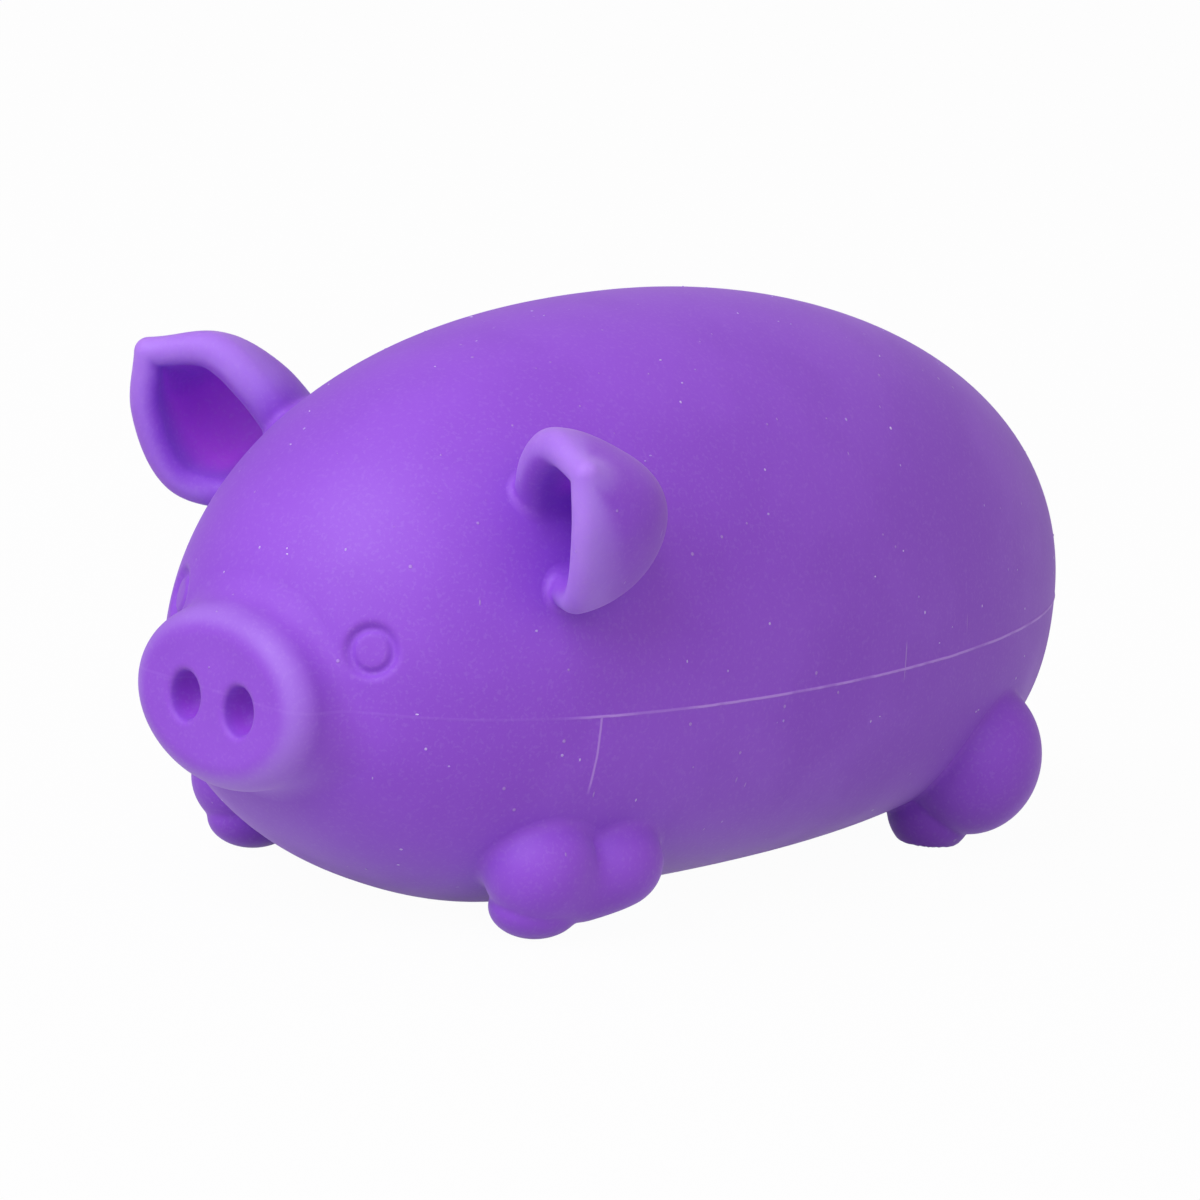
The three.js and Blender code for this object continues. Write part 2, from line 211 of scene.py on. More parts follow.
def ellipsoid_distance(points: Points, centre: Points, radii: Iterable[float]) -> np.ndarray:
    """Roughly the distance to an ellipsoid.

    Args:
        points: the points.
        centre: the ellipsoid's middle.
        radii: its radii along the three axes.

    Returns:
        One distance for each point, negative inside.
    """
    radii = np.asarray(radii, float)
    near = np.linalg.norm((points - centre) / radii, axis=1)
    far = np.linalg.norm((points - centre) / radii ** 2, axis=1)
    return near * (near - 1) / np.maximum(far, 1e-6)


def sampled(distance: Distance, grid: np.ndarray, step: float, skip: int = 4) -> np.ndarray:
    """The distance on a grid, exact near the surface and coarse away from it, where only its sign counts.

    Args:
        distance: signed distance of points.
        grid: the grid's points, on three axes.
        step: grid spacing.
        skip: how many steps apart the coarse points are.

    Returns:
        One value for each point of the grid.
    """
    coarse = grid[::skip, ::skip, ::skip]
    values = distance(coarse.reshape(-1, 3)).reshape(coarse.shape[:3])
    picks = []
    for count, coarse_count in zip(grid.shape[:3], coarse.shape[:3]):
        picks.append(np.minimum((np.arange(count) + skip // 2) // skip, coarse_count - 1))
    values = values[np.ix_(*picks)]
    cell_diagonal = 1.75 * skip * step
    near = np.abs(values) < cell_diagonal
    values[near] = distance(grid[near])
    return values


def surface_net(distance: Distance, low: Points, high: Points, step: float) -> tuple[Points, np.ndarray]:
    """The surface where a distance is zero, as four-sided faces on a grid, then moved onto the form.

    Args:
        distance: signed distance of points, negative inside.
        low: lowest corner of the space to search, outside the form.
        high: highest corner.
        step: grid spacing.

    Returns:
        The points and the faces.
    """
    axes = [np.arange(a, b + step, step) for a, b in zip(low, high)]
    cells = tuple(len(a) - 1 for a in axes)
    grid = np.stack(np.meshgrid(*axes, indexing="ij"), axis=-1)
    values = sampled(distance, grid, step)
    total = int(np.prod(cells))
    sums, counts, rings = np.zeros((total, 3)), np.zeros(total), []
    for axis in range(3):
        near, far = [slice(None)] * 3, [slice(None)] * 3
        near[axis], far[axis] = slice(0, -1), slice(1, None)
        a, b = values[tuple(near)], values[tuple(far)]
        place = np.argwhere((a < 0) != (b < 0))
        start, end = a[tuple(place.T)], b[tuple(place.T)]
        crossing = grid[tuple(place.T)]
        crossing[:, axis] += step * start / (start - end)
        ring = []
        for u, v in ((0, 0), (1, 0), (1, 1), (0, 1)):
            cell = place.copy()
            cell[:, (axis + 1) % 3] -= u
            cell[:, (axis + 2) % 3] -= v
            index = np.ravel_multi_index(tuple(cell.T), cells)
            ring.append(index)
            counts += np.bincount(index, minlength=total)
            for column in range(3):
                sums[:, column] += np.bincount(index, crossing[:, column], minlength=total)
        ring = np.stack(ring, axis=1)
        rings.append(np.where((start < 0)[:, None], ring, ring[:, ::-1]))
    used = np.flatnonzero(counts)
    number = np.full(total, -1)
    number[used] = np.arange(len(used))
    points = sums[used] / counts[used][:, None]
    flattest = 0.3  # keeps a step short where the distance hardly changes
    for _ in range(3):
        grade = slope(distance, points)
        push = distance(points) / np.maximum((grade ** 2).sum(1), flattest)
        points = points - np.clip(push, -step / 2, step / 2)[:, None] * grade
    return points, number[np.concatenate(rings)]


@dataclass(frozen=True)
class Root:
    """Where a moulded-on piece stands on the skin: forward along it, out of it, and up along it."""

    place: np.ndarray
    forward: np.ndarray
    outward: np.ndarray
    upward: np.ndarray

    def placed(self, points: Points) -> Points:
        """Points of the root's own frame in the shaping frame."""
        return np.asarray(points) @ np.stack((self.forward, self.outward, self.upward)) + self.place


@dataclass(frozen=True)
class Egg:
    """The egg-shaped body: its plan, back and belly outlines and its cross-section."""

    front: float = 40.6
    rear: float = 59.4
    half_width: float = 24.1
    back_height: float = 30.0
    back_peak: float = 6.0
    belly_depth: float = 20.9
    belly_peak: float = -15.0
    floor: float = -20.4
    plan_fullness: tuple[float, float] = (2.47, 1.86)
    back_fullness: tuple[float, float] = (2.31, 1.97)
    belly_fullness: tuple[float, float] = (1.87, 3.33)
    back_section: float = 2.02
    belly_section: float = 2.29
    end_length: float = 1.6  # so near its two ends the cross-section changes no more
    end_ease: float = 1.2  # length over which it comes to that hold

    def outline(self, y: np.ndarray, peak: float, inset: float, fullness: tuple[float, float]) -> np.ndarray:
        """Share of its peak that an outline reaches at each y.

        Args:
            y: places along the body.
            peak: y of the outline's peak.
            inset: how far inside the skin the outline lies.
            fullness: powers of the curve ahead of its peak and behind it; 2 is an ellipse.

        Returns:
            One share for each y, 1 at the peak.
        """
        ahead = y < peak
        span = np.where(ahead, self.front - inset + peak, self.rear - inset - peak)
        power = np.where(ahead, fullness[0], fullness[1])
        share = np.clip(np.abs(y - peak) / span, 0, 0.99999)
        return (1 - share ** power) ** (1 / power)

    def sizes(self, y: np.ndarray, inset: float) -> tuple[np.ndarray, np.ndarray, np.ndarray]:
        """Half width, height over and depth under the parting plane at each y, so far inside the skin."""
        return (
            (self.half_width - inset) * self.outline(y, 0.0, inset, self.plan_fullness),
            (self.back_height - inset) * self.outline(y, self.back_peak, inset, self.back_fullness),
            (self.belly_depth - inset) * self.outline(y, self.belly_peak, inset, self.belly_fullness),
        )

    def point(self, y: np.ndarray, angle: np.ndarray, inset: float = 0.0) -> Points:
        """Points of the surface.

        Args:
            y: places along the body.
            angle: angles round it; 0 is the left side and a quarter turn the top.
            inset: how far inside the skin the surface lies.

        Returns:
            One point for each pair of y and angle.
        """
        width, height, depth = self.sizes(y, inset)
        above = np.sin(angle) > 0
        power = 2 / np.where(above, self.back_section, self.belly_section)
        across, up = (np.sign(v) * np.abs(v) ** power for v in (np.cos(angle), np.sin(angle)))
        return np.stack((width * across, y, np.where(above, height, depth) * up), axis=-1)

    def level(self, points: Points, inset: float = 0.0) -> np.ndarray:
        """How far out each point is in the body's own measure.

        Args:
            points: the points.
            inset: how far inside the skin the surface lies.

        Returns:
            One level for each point: 0 at the surface, negative inside, and even past the body's two ends.
        """
        x, y, z = points.T
        span = np.where(y < 0, self.front, self.rear) - inset
        power = np.where(y < 0, *self.plan_fullness)
        share = np.abs(y) / span
        held = np.clip(y, self.end_length - self.front + inset, self.rear - inset - self.end_length)
        held = held + self.end_ease * np.tanh((y - held) / self.end_ease)
        width, height, depth = self.sizes(held, inset)
        widest = self.half_width - inset
        tall = np.where(z > 0, height, depth) / (width / widest)
        section = np.where(z > 0, self.back_section, self.belly_section)
        out = ((np.abs(x) / widest) ** section + (np.abs(z) / tall) ** section) ** (1 / section)
        return (out ** power + share ** power) ** (1 / power) - 1

    def distance(self, points: Points) -> np.ndarray:
        """Roughly the distance to the surface, negative inside."""
        grade = np.linalg.norm(slope(self.level, points), axis=1)
        return self.level(points) / np.maximum(grade, 1e-3)

    def outward(self, points: Points) -> Points:
        """Unit normals of the surface at the points."""
        grade = slope(self.level, points)
        return grade / np.maximum(np.linalg.norm(grade, axis=1), 1e-9)[:, None]

    def angle_at(self, y: float, height: float) -> float:
        """The angle at which the left side reaches a height.

        Args:
            y: place along the body.
            height: height over the parting plane.

        Returns:
            The angle, found by halving.
        """
        low, high = -math.pi / 2, math.pi / 2
        for _ in range(40):
            middle = (low + high) / 2
            if self.point(np.array([y]), np.array([middle]))[0, 2] < height:
                low = middle
            else:
                high = middle
        return (low + high) / 2

    def root(self, y: float, angle: float) -> Root:
        """The root frame at a place of the left side or the top.

        Args:
            y: place along the body.
            angle: angle round it.

        Returns:
            The frame, with its forward direction towards the face.
        """
        step = 0.01
        beside = self.point(np.array((y, y + step, y - step, y, y)),
                            np.array((angle, angle, angle, angle + step, angle - step)))
        place, ahead, behind, over, under = beside
        outward = np.cross(ahead - behind, over - under)
        outward /= np.linalg.norm(outward)
        forward = np.array((0.0, -1.0, 0.0))
        forward -= outward * (forward @ outward)
        forward /= np.linalg.norm(forward)
        return Root(place, forward, outward, np.cross(forward, outward))


EGG = Egg()


class Side(Enum):
    """The side of the toy that a piece stands on, with the sign of its x."""

    LEFT = 1
    RIGHT = -1


def add_object(name: str, data: bpy.types.ID) -> bpy.types.Object:
    """A new object with its data, linked to the scene."""
    made = bpy.data.objects.new(name, data)
    bpy.context.scene.collection.objects.link(made)
    return made


def make_piece(name: str, points: Points, faces: Iterable[Iterable[int]], material: bpy.types.Material,
               side: Side = Side.LEFT, crease: float = 50.0, **shades: np.ndarray) -> bpy.types.Object:
    """A mesh object in the shared frame, with its faces outwards.

    Args:
        name: the piece's name.
        points: its points in the shaping frame.
        faces: its faces.
        material: its finish.
        side: RIGHT mirrors the points.
        crease: angle in degrees past which an edge stays sharp.
        **shades: numbers for each point that the finish reads by name, such as the pale of wear and painted highlight
                  on rims.

    Returns:
        The new object.
    """
    points = np.asarray(points, float) * (side.value, 1, 1)
    faces = [tuple(int(i) for i in face) for face in faces]
    mesh = bpy.data.meshes.new(name)
    mesh.from_pydata(((points + SHIFT) / 1000).tolist(), [], faces)
    mesh.materials.append(material)
    made = bmesh.new()
    made.from_mesh(mesh)
    if made.calc_volume(signed=True) < 0:
        bmesh.ops.reverse_faces(made, faces=made.faces)
    made.to_mesh(mesh)
    made.free()
    mesh.shade_smooth()
    mesh.set_sharp_from_angle(angle=math.radians(crease))
    for label, values in shades.items():
        mesh.attributes.new(label, "FLOAT", "POINT").data.foreach_set("value", values.astype(np.float32))
    return add_object(name, mesh)


def ring_faces(rings: int, turns: int) -> list[tuple[int, ...]]:
    """Faces between closed rings of points, with a fan to one more point at each end.

    Args:
        rings: how many rings there are.
        turns: how many points each ring has. The two end points follow the rings.

    Returns:
        The faces.
    """
    faces = [
        (r * turns + c, r * turns + (c + 1) % turns, (r + 1) * turns + (c + 1) % turns, (r + 1) * turns + c)
        for r in range(rings - 1) for c in range(turns)
    ]
    first, last, base = rings * turns, rings * turns + 1, (rings - 1) * turns
    faces += [(first, (c + 1) % turns, c) for c in range(turns)]
    faces += [(last, base + c, base + (c + 1) % turns) for c in range(turns)]
    return faces


def plain_mesh(carrier: bpy.types.Object, modifier: bpy.types.Modifier) -> None:
    """Gives an object the mesh that its modifier makes, and takes the modifier off."""
    graph = bpy.context.evaluated_depsgraph_get()
    result = bpy.data.meshes.new_from_object(carrier.evaluated_get(graph))
    carrier.modifiers.remove(modifier)
    old, carrier.data = carrier.data, result
    bpy.data.meshes.remove(old)


def blank_material(name: str) -> bpy.types.Material:
    """A new material with an empty node tree."""
    material = bpy.data.materials.new(name)
    material.use_nodes = True
    material.node_tree.nodes.clear()
    return material


def add_node(tree: bpy.types.NodeTree, kind: str, inputs: dict | tuple = (), **settings) -> bpy.types.Node:
    """Adds a node to a tree with its settings, values and links.

    Args:
        tree: the node tree.
        kind: the node's type name.
        inputs: the inputs' values in their order, or by name or number. A socket is linked, and so is a
            node, from its first output.
        **settings: the node's own properties.

    Returns:
        The node.
    """
    node = tree.nodes.new(kind)
    for key, value in settings.items():
        setattr(node, key, value)
    for key, value in inputs.items() if isinstance(inputs, dict) else enumerate(inputs):
        if isinstance(value, bpy.types.Node):
            value = value.outputs[0]
        if isinstance(value, bpy.types.NodeSocket):
            tree.links.new(value, node.inputs[key])
        else:
            node.inputs[key].default_value = value
    return node


@dataclass(frozen=True)
class Flash:
    """The mould's hair-thin flash, in millimetres: a line on the parting plane and a short upright."""

    seam_core: float = 0.06
    upright_core: float = 0.05
    edge: float = 0.11  # width over which a line fades beside its core
    drift: float = 0.1  # how far the lines wander
    upright_y: float = -19.6
    upright_top: tuple[float, float] = (-0.2, 0.1)
    upright_foot: tuple[float, float] = (-7.3, -5.8)

    def mask(self, tree: bpy.types.NodeTree, place: bpy.types.NodeSocket) -> bpy.types.Node:
        """Adds the nodes that draw the flash.

        Args:
            tree: the material's tree.
            place: its object coordinates.

        Returns:
            The node whose value is 1 on the flash and 0 away from it.
        """
        x, y, z = add_node(tree, "ShaderNodeSeparateXYZ", (place,)).outputs
        wave = add_node(tree, "ShaderNodeTexNoise", {"Vector": place, "Scale": 260.0, "Detail": 3.0})
        drift = add_node(tree, "ShaderNodeMath", (wave, 2 * self.drift / 1000, -self.drift / 1000),
                         operation="MULTIPLY_ADD")
        y_range, top, foot = (
            [(v + SHIFT[axis]) / 1000 for v in span]
            for axis, span in ((1, FLASH_FADE), (2, self.upright_top), (2, self.upright_foot)))
        seam_limits = ((y, *y_range, 0.1, 1.0), (wave, 0.38, 0.56, 0.45, 1.0))
        upright_limits = ((z, *top, 1.0, 0.0), (z, *foot, 0.0, 1.0), (x, 0.0, 0.001, 0.0, 1.0))
        lines = (
            (z, SHIFT[2] / 1000, self.seam_core, 1.0, seam_limits),
            (y, (self.upright_y + SHIFT[1]) / 1000, self.upright_core, 0.8, upright_limits),
        )
        masks = []
        for along, middle, core, strength, limits in lines:
            offset = add_node(tree, "ShaderNodeMath", (along, middle), operation="SUBTRACT")
            wavy = add_node(tree, "ShaderNodeMath", (offset, drift), operation="ADD")
            away = add_node(tree, "ShaderNodeMath", (wavy,), operation="ABSOLUTE")
            line = add_node(tree, "ShaderNodeMapRange",
                            (away, core / 1000, (core + self.edge) / 1000, strength, 0.0), **SMOOTH)
            for limit in limits:
                fade = add_node(tree, "ShaderNodeMapRange", limit, **SMOOTH)
                line = add_node(tree, "ShaderNodeMath", (line, fade), operation="MULTIPLY")
            masks.append(line)
        return add_node(tree, "ShaderNodeMath", tuple(masks), operation="MAXIMUM")


@dataclass(frozen=True)
class MouldedRubber:
    """Injection-moulded thermoplastic rubber: an even satin-matt surface, dusty because it is tacky.

    The colour runs a little lighter where dust lies and on the thin flash of the mould. Rims get a paler colour that
    stands for wear from handling and is also a painted highlight where they catch the light. Hollows get a painted
    shade.
    """

    name: str
    colour: str = "914cd4"
    deep_colour: str = "8c48ce"
    dust_colour: str = "bb9ce0"
    flash_colour: str = "c49cee"
    # pale colour of wear on rims, which is also a painted highlight there
    worn_colour: str = "ab84e4"
    # colour of painted shade in hollows such as the nostrils, and of painted shade and glow in the ear's hollow
    hollow_colour: str = "b84ae0"
    sheen_colour: str = "e6d6ff"
    roughness: float = 0.58
    sheen: float = 0.2
    subsurface: float = 0.0  # where the piece stands clear of the skin and light passes through
    parting: bool = False
    grain: float = 0.35  # millimetres, the fine texture of the mould, drawn as coarse as it shows
    mottle: float = 14.0  # millimetres, patches where the dust is thicker
    speck_spacing: float = 2.4  # millimetres between settled dust specks
    lint_cells: Place = (480.0, 480.0, 22.0)  # in a metre, for hairs about 3 mm long and 0.1 mm wide

    def speck_mask(self, tree: bpy.types.NodeTree, place: bpy.types.NodeSocket) -> bpy.types.Node:
        """Adds settled dust: one fleck in some cells of a random pattern.

        Args:
            tree: the material's tree.
            place: its object coordinates.

        Returns:
            The node whose value is 1 on a fleck.
        """
        cell = add_node(tree, "ShaderNodeTexVoronoi", {"Vector": place, "Scale": 1000 / self.speck_spacing})
        size = add_node(tree, "ShaderNodeSeparateXYZ", (cell.outputs["Color"],))
        reach = add_node(tree, "ShaderNodeMapRange", (size, 0.45, 1.0, 0.0, 0.075), **SMOOTH)
        past = add_node(tree, "ShaderNodeMath", (cell, reach), operation="SUBTRACT")
        return add_node(tree, "ShaderNodeMapRange", (past, -0.02, 0.015, 1.0, 0.0), **SMOOTH)

    def lint_mask(self, tree: bpy.types.NodeTree, place: bpy.types.NodeSocket) -> bpy.types.Node:
        """Adds a few hairlines of lint.

        Args:
            tree: the material's tree.
            place: its object coordinates.

        Returns:
            The node whose value is 1 on a hair.
        """
        long = add_node(tree, "ShaderNodeVectorMath", (place, self.lint_cells), operation="MULTIPLY")
        cell = add_node(tree, "ShaderNodeTexVoronoi", {"Vector": long.outputs[0], "Scale": 1.0})
        return add_node(tree, "ShaderNodeMapRange", (cell, 0.03, 0.05, 1.0, 0.0), **SMOOTH)

    def make(self) -> bpy.types.Material:
        """Builds the material.

        Returns:
            The finished material.
        """
        material = blank_material(self.name)
        tree = material.node_tree
        place = add_node(tree, "ShaderNodeTexCoord").outputs["Object"]
        patches = add_node(tree, "ShaderNodeTexNoise", {
            "Vector": place, "Scale": 1000 / self.mottle, "Detail": 4.0})
        grain = add_node(tree, "ShaderNodeTexNoise", {
            "Vector": place, "Scale": 1000 / self.grain, "Detail": 2.0, "Roughness": 0.55})
        # attributes: pale wear with a painted highlight on rims, painted shade in hollows, and how far the piece
        # stands clear of the skin
        worn, hollow, rise = (add_node(tree, "ShaderNodeAttribute", attribute_name=name).outputs["Fac"]
                              for name in ("worn", "deep", "rise"))
        flecks, hairs = self.speck_mask(tree, place), self.lint_mask(tree, place)
        specks = add_node(tree, "ShaderNodeMath", (flecks, hairs), operation="MAXIMUM")
        mottled = add_node(tree, "ShaderNodeMapRange", (patches, 0.35, 0.65), **SMOOTH)
        uneven = add_node(tree, "ShaderNodeMapRange", (patches, 0.2, 0.75, 0.25, 0.6), **SMOOTH)
        # wear with a painted highlight on rims, broken up in patches
        wear_and_highlight_share = add_node(tree, "ShaderNodeMath", (worn, uneven), operation="MULTIPLY")
        film = add_node(tree, "ShaderNodeMapRange", (grain, 0.5, 0.72, 0.0, 0.10), **SMOOTH)
        dust = add_node(tree, "ShaderNodeMath", (specks, 0.55, film), operation="MULTIPLY_ADD")
        # the second and third layers are painted light: the rims' highlight with their wear, and the hollows' shade
        layers = [(mottled, self.colour), (wear_and_highlight_share, self.worn_colour), (hollow, self.hollow_colour),
                  (dust, self.dust_colour)]
        texture = add_node(tree, "ShaderNodeMath", (grain, 0.00001), operation="MULTIPLY")
        height = add_node(tree, "ShaderNodeMath", (specks, 0.00006, texture), operation="MULTIPLY_ADD")
        if self.parting:
            flash = Flash().mask(tree, place)
            thin = add_node(tree, "ShaderNodeMath", (flash, 0.75), operation="MULTIPLY")
            layers.append((thin, self.flash_colour))
            height = add_node(tree, "ShaderNodeMath", (flash, 0.00002, height), operation="MULTIPLY_ADD")
        colour = linear(self.deep_colour)
        for share, layer in layers:
            mixed = add_node(tree, "ShaderNodeMix", {0: share, 6: colour, 7: linear(layer)}, **COLOURS)
            colour = mixed.outputs[2]
        bump = add_node(tree, "ShaderNodeBump", {"Strength": 0.8, "Distance": 1.0, "Height": height})
        shine = add_node(tree, "ShaderNodeMapRange",
                         (patches, 0.3, 0.7, self.roughness + 0.06, self.roughness - 0.05), **SMOOTH)
        glow = add_node(tree, "ShaderNodeMath", (rise, self.subsurface), operation="MULTIPLY")
        shader = add_node(tree, "ShaderNodeBsdfPrincipled", {
            "Base Color": colour, "Roughness": shine, "Normal": bump, "IOR": 1.5,
            "Sheen Weight": self.sheen, "Sheen Roughness": 0.45, "Sheen Tint": linear(self.sheen_colour),
            "Subsurface Weight": glow, "Subsurface Radius": (0.6, 0.45, 0.6), "Subsurface Scale": 0.005})
        add_node(tree, "ShaderNodeOutputMaterial", (shader,))
        return material


@dataclass(frozen=True)
class FillingDough:
    """Starch dough: a matt, close-grained cream paste inside the skin."""

    name: str = "filling_dough"
    dark: str = "d8cfbb"
    light: str = "eee7d8"
    crumb: float = 10 / 9  # millimetres

    def make(self) -> bpy.types.Material:
        """Builds the material.

        Returns:
            The finished material.
        """
        material = blank_material(self.name)
        tree = material.node_tree
        place = add_node(tree, "ShaderNodeTexCoord").outputs["Object"]
        crumb = add_node(tree, "ShaderNodeTexNoise", {
            "Vector": place, "Scale": 1000 / self.crumb, "Detail": 4.0})
        colour = add_node(tree, "ShaderNodeMix", {
            0: crumb, 6: linear(self.dark), 7: linear(self.light)}, **COLOURS)
        bump = add_node(tree, "ShaderNodeBump", {"Strength": 0.5, "Distance": 0.0002, "Height": crumb})
        shader = add_node(tree, "ShaderNodeBsdfPrincipled", {
            "Base Color": colour.outputs[2], "Roughness": 0.9, "Normal": bump})
        add_node(tree, "ShaderNodeOutputMaterial", (shader,))
        return material


@dataclass(frozen=True)
class DustFluff:
    """Pale dust flecks that stick to tacky rubber, each a little greyer or paler by its place."""

    name: str = "dust_fluff"
    grey: str = "a98bdc"
    pale: str = "d8c9ef"
    patch: float = 10 / 3  # millimetres

    def make(self) -> bpy.types.Material:
        """Builds the material.

        Returns:
            The finished material.
        """
        material = blank_material(self.name)
        tree = material.node_tree
        place = add_node(tree, "ShaderNodeTexCoord").outputs["Object"]
        tone = add_node(tree, "ShaderNodeTexNoise", {"Vector": place, "Scale": 1000 / self.patch})
        share = add_node(tree, "ShaderNodeMapRange", (tone, 0.3, 0.7), **SMOOTH)
        colour = add_node(tree, "ShaderNodeMix", {
            0: share, 6: linear(self.grey), 7: linear(self.pale)}, **COLOURS)
        shader = add_node(tree, "ShaderNodeBsdfPrincipled", {
            "Base Color": colour.outputs[2], "Roughness": 0.9})
        add_node(tree, "ShaderNodeOutputMaterial", (shader,))
        return material


@dataclass
class Eyes:
    """Two sunk ring eyes, pressed into the face."""

    y: float = -37.1
    height: float = 5.2
    ring_radius: float = 1.93
    ring_width: float = 0.36
    ring_depth: float = 0.45
    floor_depth: float = 0.14
    floor_edge: float = 0.35
    halo_radius: float = 2.9
    halo_depth: float = 0.1

    def away(self, points: Points) -> np.ndarray:
        """Distances of the points to the middle of the nearer eye, on the skin."""
        centre = EGG.point(np.array([self.y]), np.array([EGG.angle_at(self.y, self.height)]))[0]
        return np.linalg.norm(to_left(points) - centre, axis=1)

    def depth(self, points: Points) -> np.ndarray:
        """How deep the eyes press the skin in at the points.

        Args:
            points: the points.

        Returns:
            One depth for each point.
        """
        away = self.away(points)
        ring = self.ring_radius
        groove = self.ring_depth * np.exp(-((away - ring) / self.ring_width) ** 2)
        floor = self.floor_depth * (1 - soft_step(away, ring - self.floor_edge, ring))
        halo = self.halo_depth * (1 - soft_step(away, ring, self.halo_radius))
        return groove + floor + halo


@dataclass
class Skin:
    """The skin of the body: a face that holds still and a rear part that folds as the back is pressed."""

    finish: bpy.types.Material
    eyes: Eyes = field(default_factory=Eyes)
    ridge_height: float = 0.06
    ridge_width: float = 0.13
    ridge_spots: tuple[float, ...] = (-0.4, -0.26, -0.16, -0.08, 0, 0.08, 0.16, 0.26, 0.4)
    face_ridge: float = 0.15  # share of its height that the parting ridge keeps on the face
    port_radius: float = 4.3
    port_depth: float = 2.6
    nose_length: float = 5.2
    fine_from: float = -40.3  # y between which the rings lie closest, across the eyes
    fine_to: float = -33.6
    fine_gap: float = 0.125
    rump: float = 46.0  # y from which the rings close up towards the rear end
    fine_turn: float = 0.26  # angle to each side of an eye in which the columns lie closest
    fine_turn_gap: float = 0.0095
    least_turn: float = 0.0022
    side_radius: float = 24.0  # of the body beside the parting line

    def rows(self) -> np.ndarray:
        """Places of the rings along the body, closest together round the eyes and at the two ends.

        Returns:
            One y for each ring.
        """
        nose = -EGG.front + self.nose_length * np.linspace(0.03, 1, 10) ** 2.2
        nose = nose[nose < self.fine_from]
        eye = np.arange(self.fine_from, self.fine_to, self.fine_gap)
        brow = np.linspace(self.fine_to + 0.1, SEAM_Y, 22)[1:]
        middle = np.linspace(SEAM_Y, self.rump, 118)[1:]
        tail = self.rump + (EGG.rear - self.rump) * np.sin(np.linspace(0, math.pi / 2, 46))[1:-1]
        return np.concatenate((nose, eye, brow, middle, tail))

    def columns(self) -> np.ndarray:
        """Angles of the columns round the body, closest over the eyes and at the parting line.

        Returns:
            One angle for each column.
        """
        eye = EGG.angle_at(self.eyes.y, self.eyes.height)
        left = np.concatenate((
            np.array(self.ridge_spots) / self.side_radius,
            np.arange(eye - self.fine_turn, eye + self.fine_turn, self.fine_turn_gap),
            np.arange(-math.pi / 2, math.pi / 2, math.pi / 88),
        ))
        left = np.unique(np.round(left, 5))
        keep = [left[0]]
        for angle in left[1:]:
            if angle - keep[-1] > self.least_turn:
                keep.append(angle)
        return np.concatenate((keep, [math.pi / 2], math.pi - np.array(keep[:0:-1])))

    def surface(self, rows: np.ndarray, columns: np.ndarray) -> Points:
        """Points of the finished skin: the egg with its eyes, its parting ridge and its flat underside.

        Args:
            rows: places of the rings.
            columns: angles of the columns.

        Returns:
            The points, ring by ring.
        """
        y, angle = (v.ravel() for v in np.meshgrid(rows, columns, indexing="ij"))
        points = EGG.point(y, angle)
        strength = self.face_ridge + (1 - self.face_ridge) * soft_step(y, *FLASH_FADE)
        ridge = self.ridge_height * strength * np.exp(-(points[:, 2] / self.ridge_width) ** 2)
        points = points + EGG.outward(points) * (ridge - self.eyes.depth(points))[:, None]
        points[:, 2] = np.maximum(points[:, 2], EGG.floor)
        return points

    def closed(self, name: str, rows: np.ndarray, columns: np.ndarray, end: int,
               pole: float) -> bpy.types.Object:
        """A closed part of the skin.

        Args:
            name: the part's name.
            rows: places of its rings.
            columns: angles of its columns.
            end: which of its ends is the body's own, 0 or 1. The other one is closed flat.
            pole: y of the body's own end.

        Returns:
            The part.
        """
        points = self.surface(rows, columns)
        turns = len(columns)
        ends = [points[:turns].mean(0), points[-turns:].mean(0)]
        ends[end] = np.array((0.0, pole, 0.0))
        return make_piece(name, np.vstack((points, ends)), ring_faces(len(rows), turns), self.finish)

    def cut_port(self, skin: bpy.types.Object) -> None:
        """Cuts the filling port in the underside, which the plug closes.

        Args:
            skin: the rear part of the skin.
        """
        tool = bmesh.new()
        bmesh.ops.create_cone(tool, cap_ends=True, segments=96, radius1=self.port_radius / 1000,
                              radius2=self.port_radius / 1000, depth=2 * self.port_depth / 1000)
        bmesh.ops.translate(tool, verts=tool.verts, vec=to_shared((0, PORT_Y, EGG.floor)))
        mesh = bpy.data.meshes.new("port_tool")
        tool.to_mesh(mesh)
        tool.free()
        cutter = add_object("port_tool", mesh)
        cut = skin.modifiers.new("port", "BOOLEAN")
        cut.operation, cut.object, cut.solver = "DIFFERENCE", cutter, "EXACT"
        plain_mesh(skin, cut)
        bpy.data.objects.remove(cutter)
        skin.data.materials.clear()
        skin.data.materials.append(self.finish)
        skin.data.set_sharp_from_angle(angle=math.radians(50))

    def face_fold(self) -> tuple[Place, Place]:
        """Where the face's fold starts and ends: it slants forward, so the snout and the eyes hold still."""
        rise = 1 / (FOLD_TO - FOLD_FROM)
        size = FACE_HOLD ** 2 + rise ** 2
        start = np.array((0.0, SEAM_Y + SHIFT[1], FOLD_FROM)) / 1000
        return tuple(start), tuple(start + np.array((0.0, FACE_HOLD, rise)) / size / 1000)

    def build(self) -> list[bpy.types.Object]:
        """Builds and dresses both parts of the skin.

        Returns:
            The face and the rear part.
        """
        rows, columns = self.rows(), self.columns()
        face = self.closed("skin_face", rows[rows <= SEAM_Y + 1e-6], columns, 0, -EGG.front)
        rear = self.closed("skin_body", rows[rows >= SEAM_Y - 1e-6], columns, 1, EGG.rear)
        self.cut_port(rear)
        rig.replaces(face, "skin_flank")
        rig.replaces(rear, "skin_back", "skin_belly")
        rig.blend(face, "body", "back", *self.face_fold())
        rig.blend(rear, "body", "back", *BACK_FOLD)
        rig.slot(face, "skin_rubber")
        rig.slot(rear, "skin_rubber")
        return [face, rear]


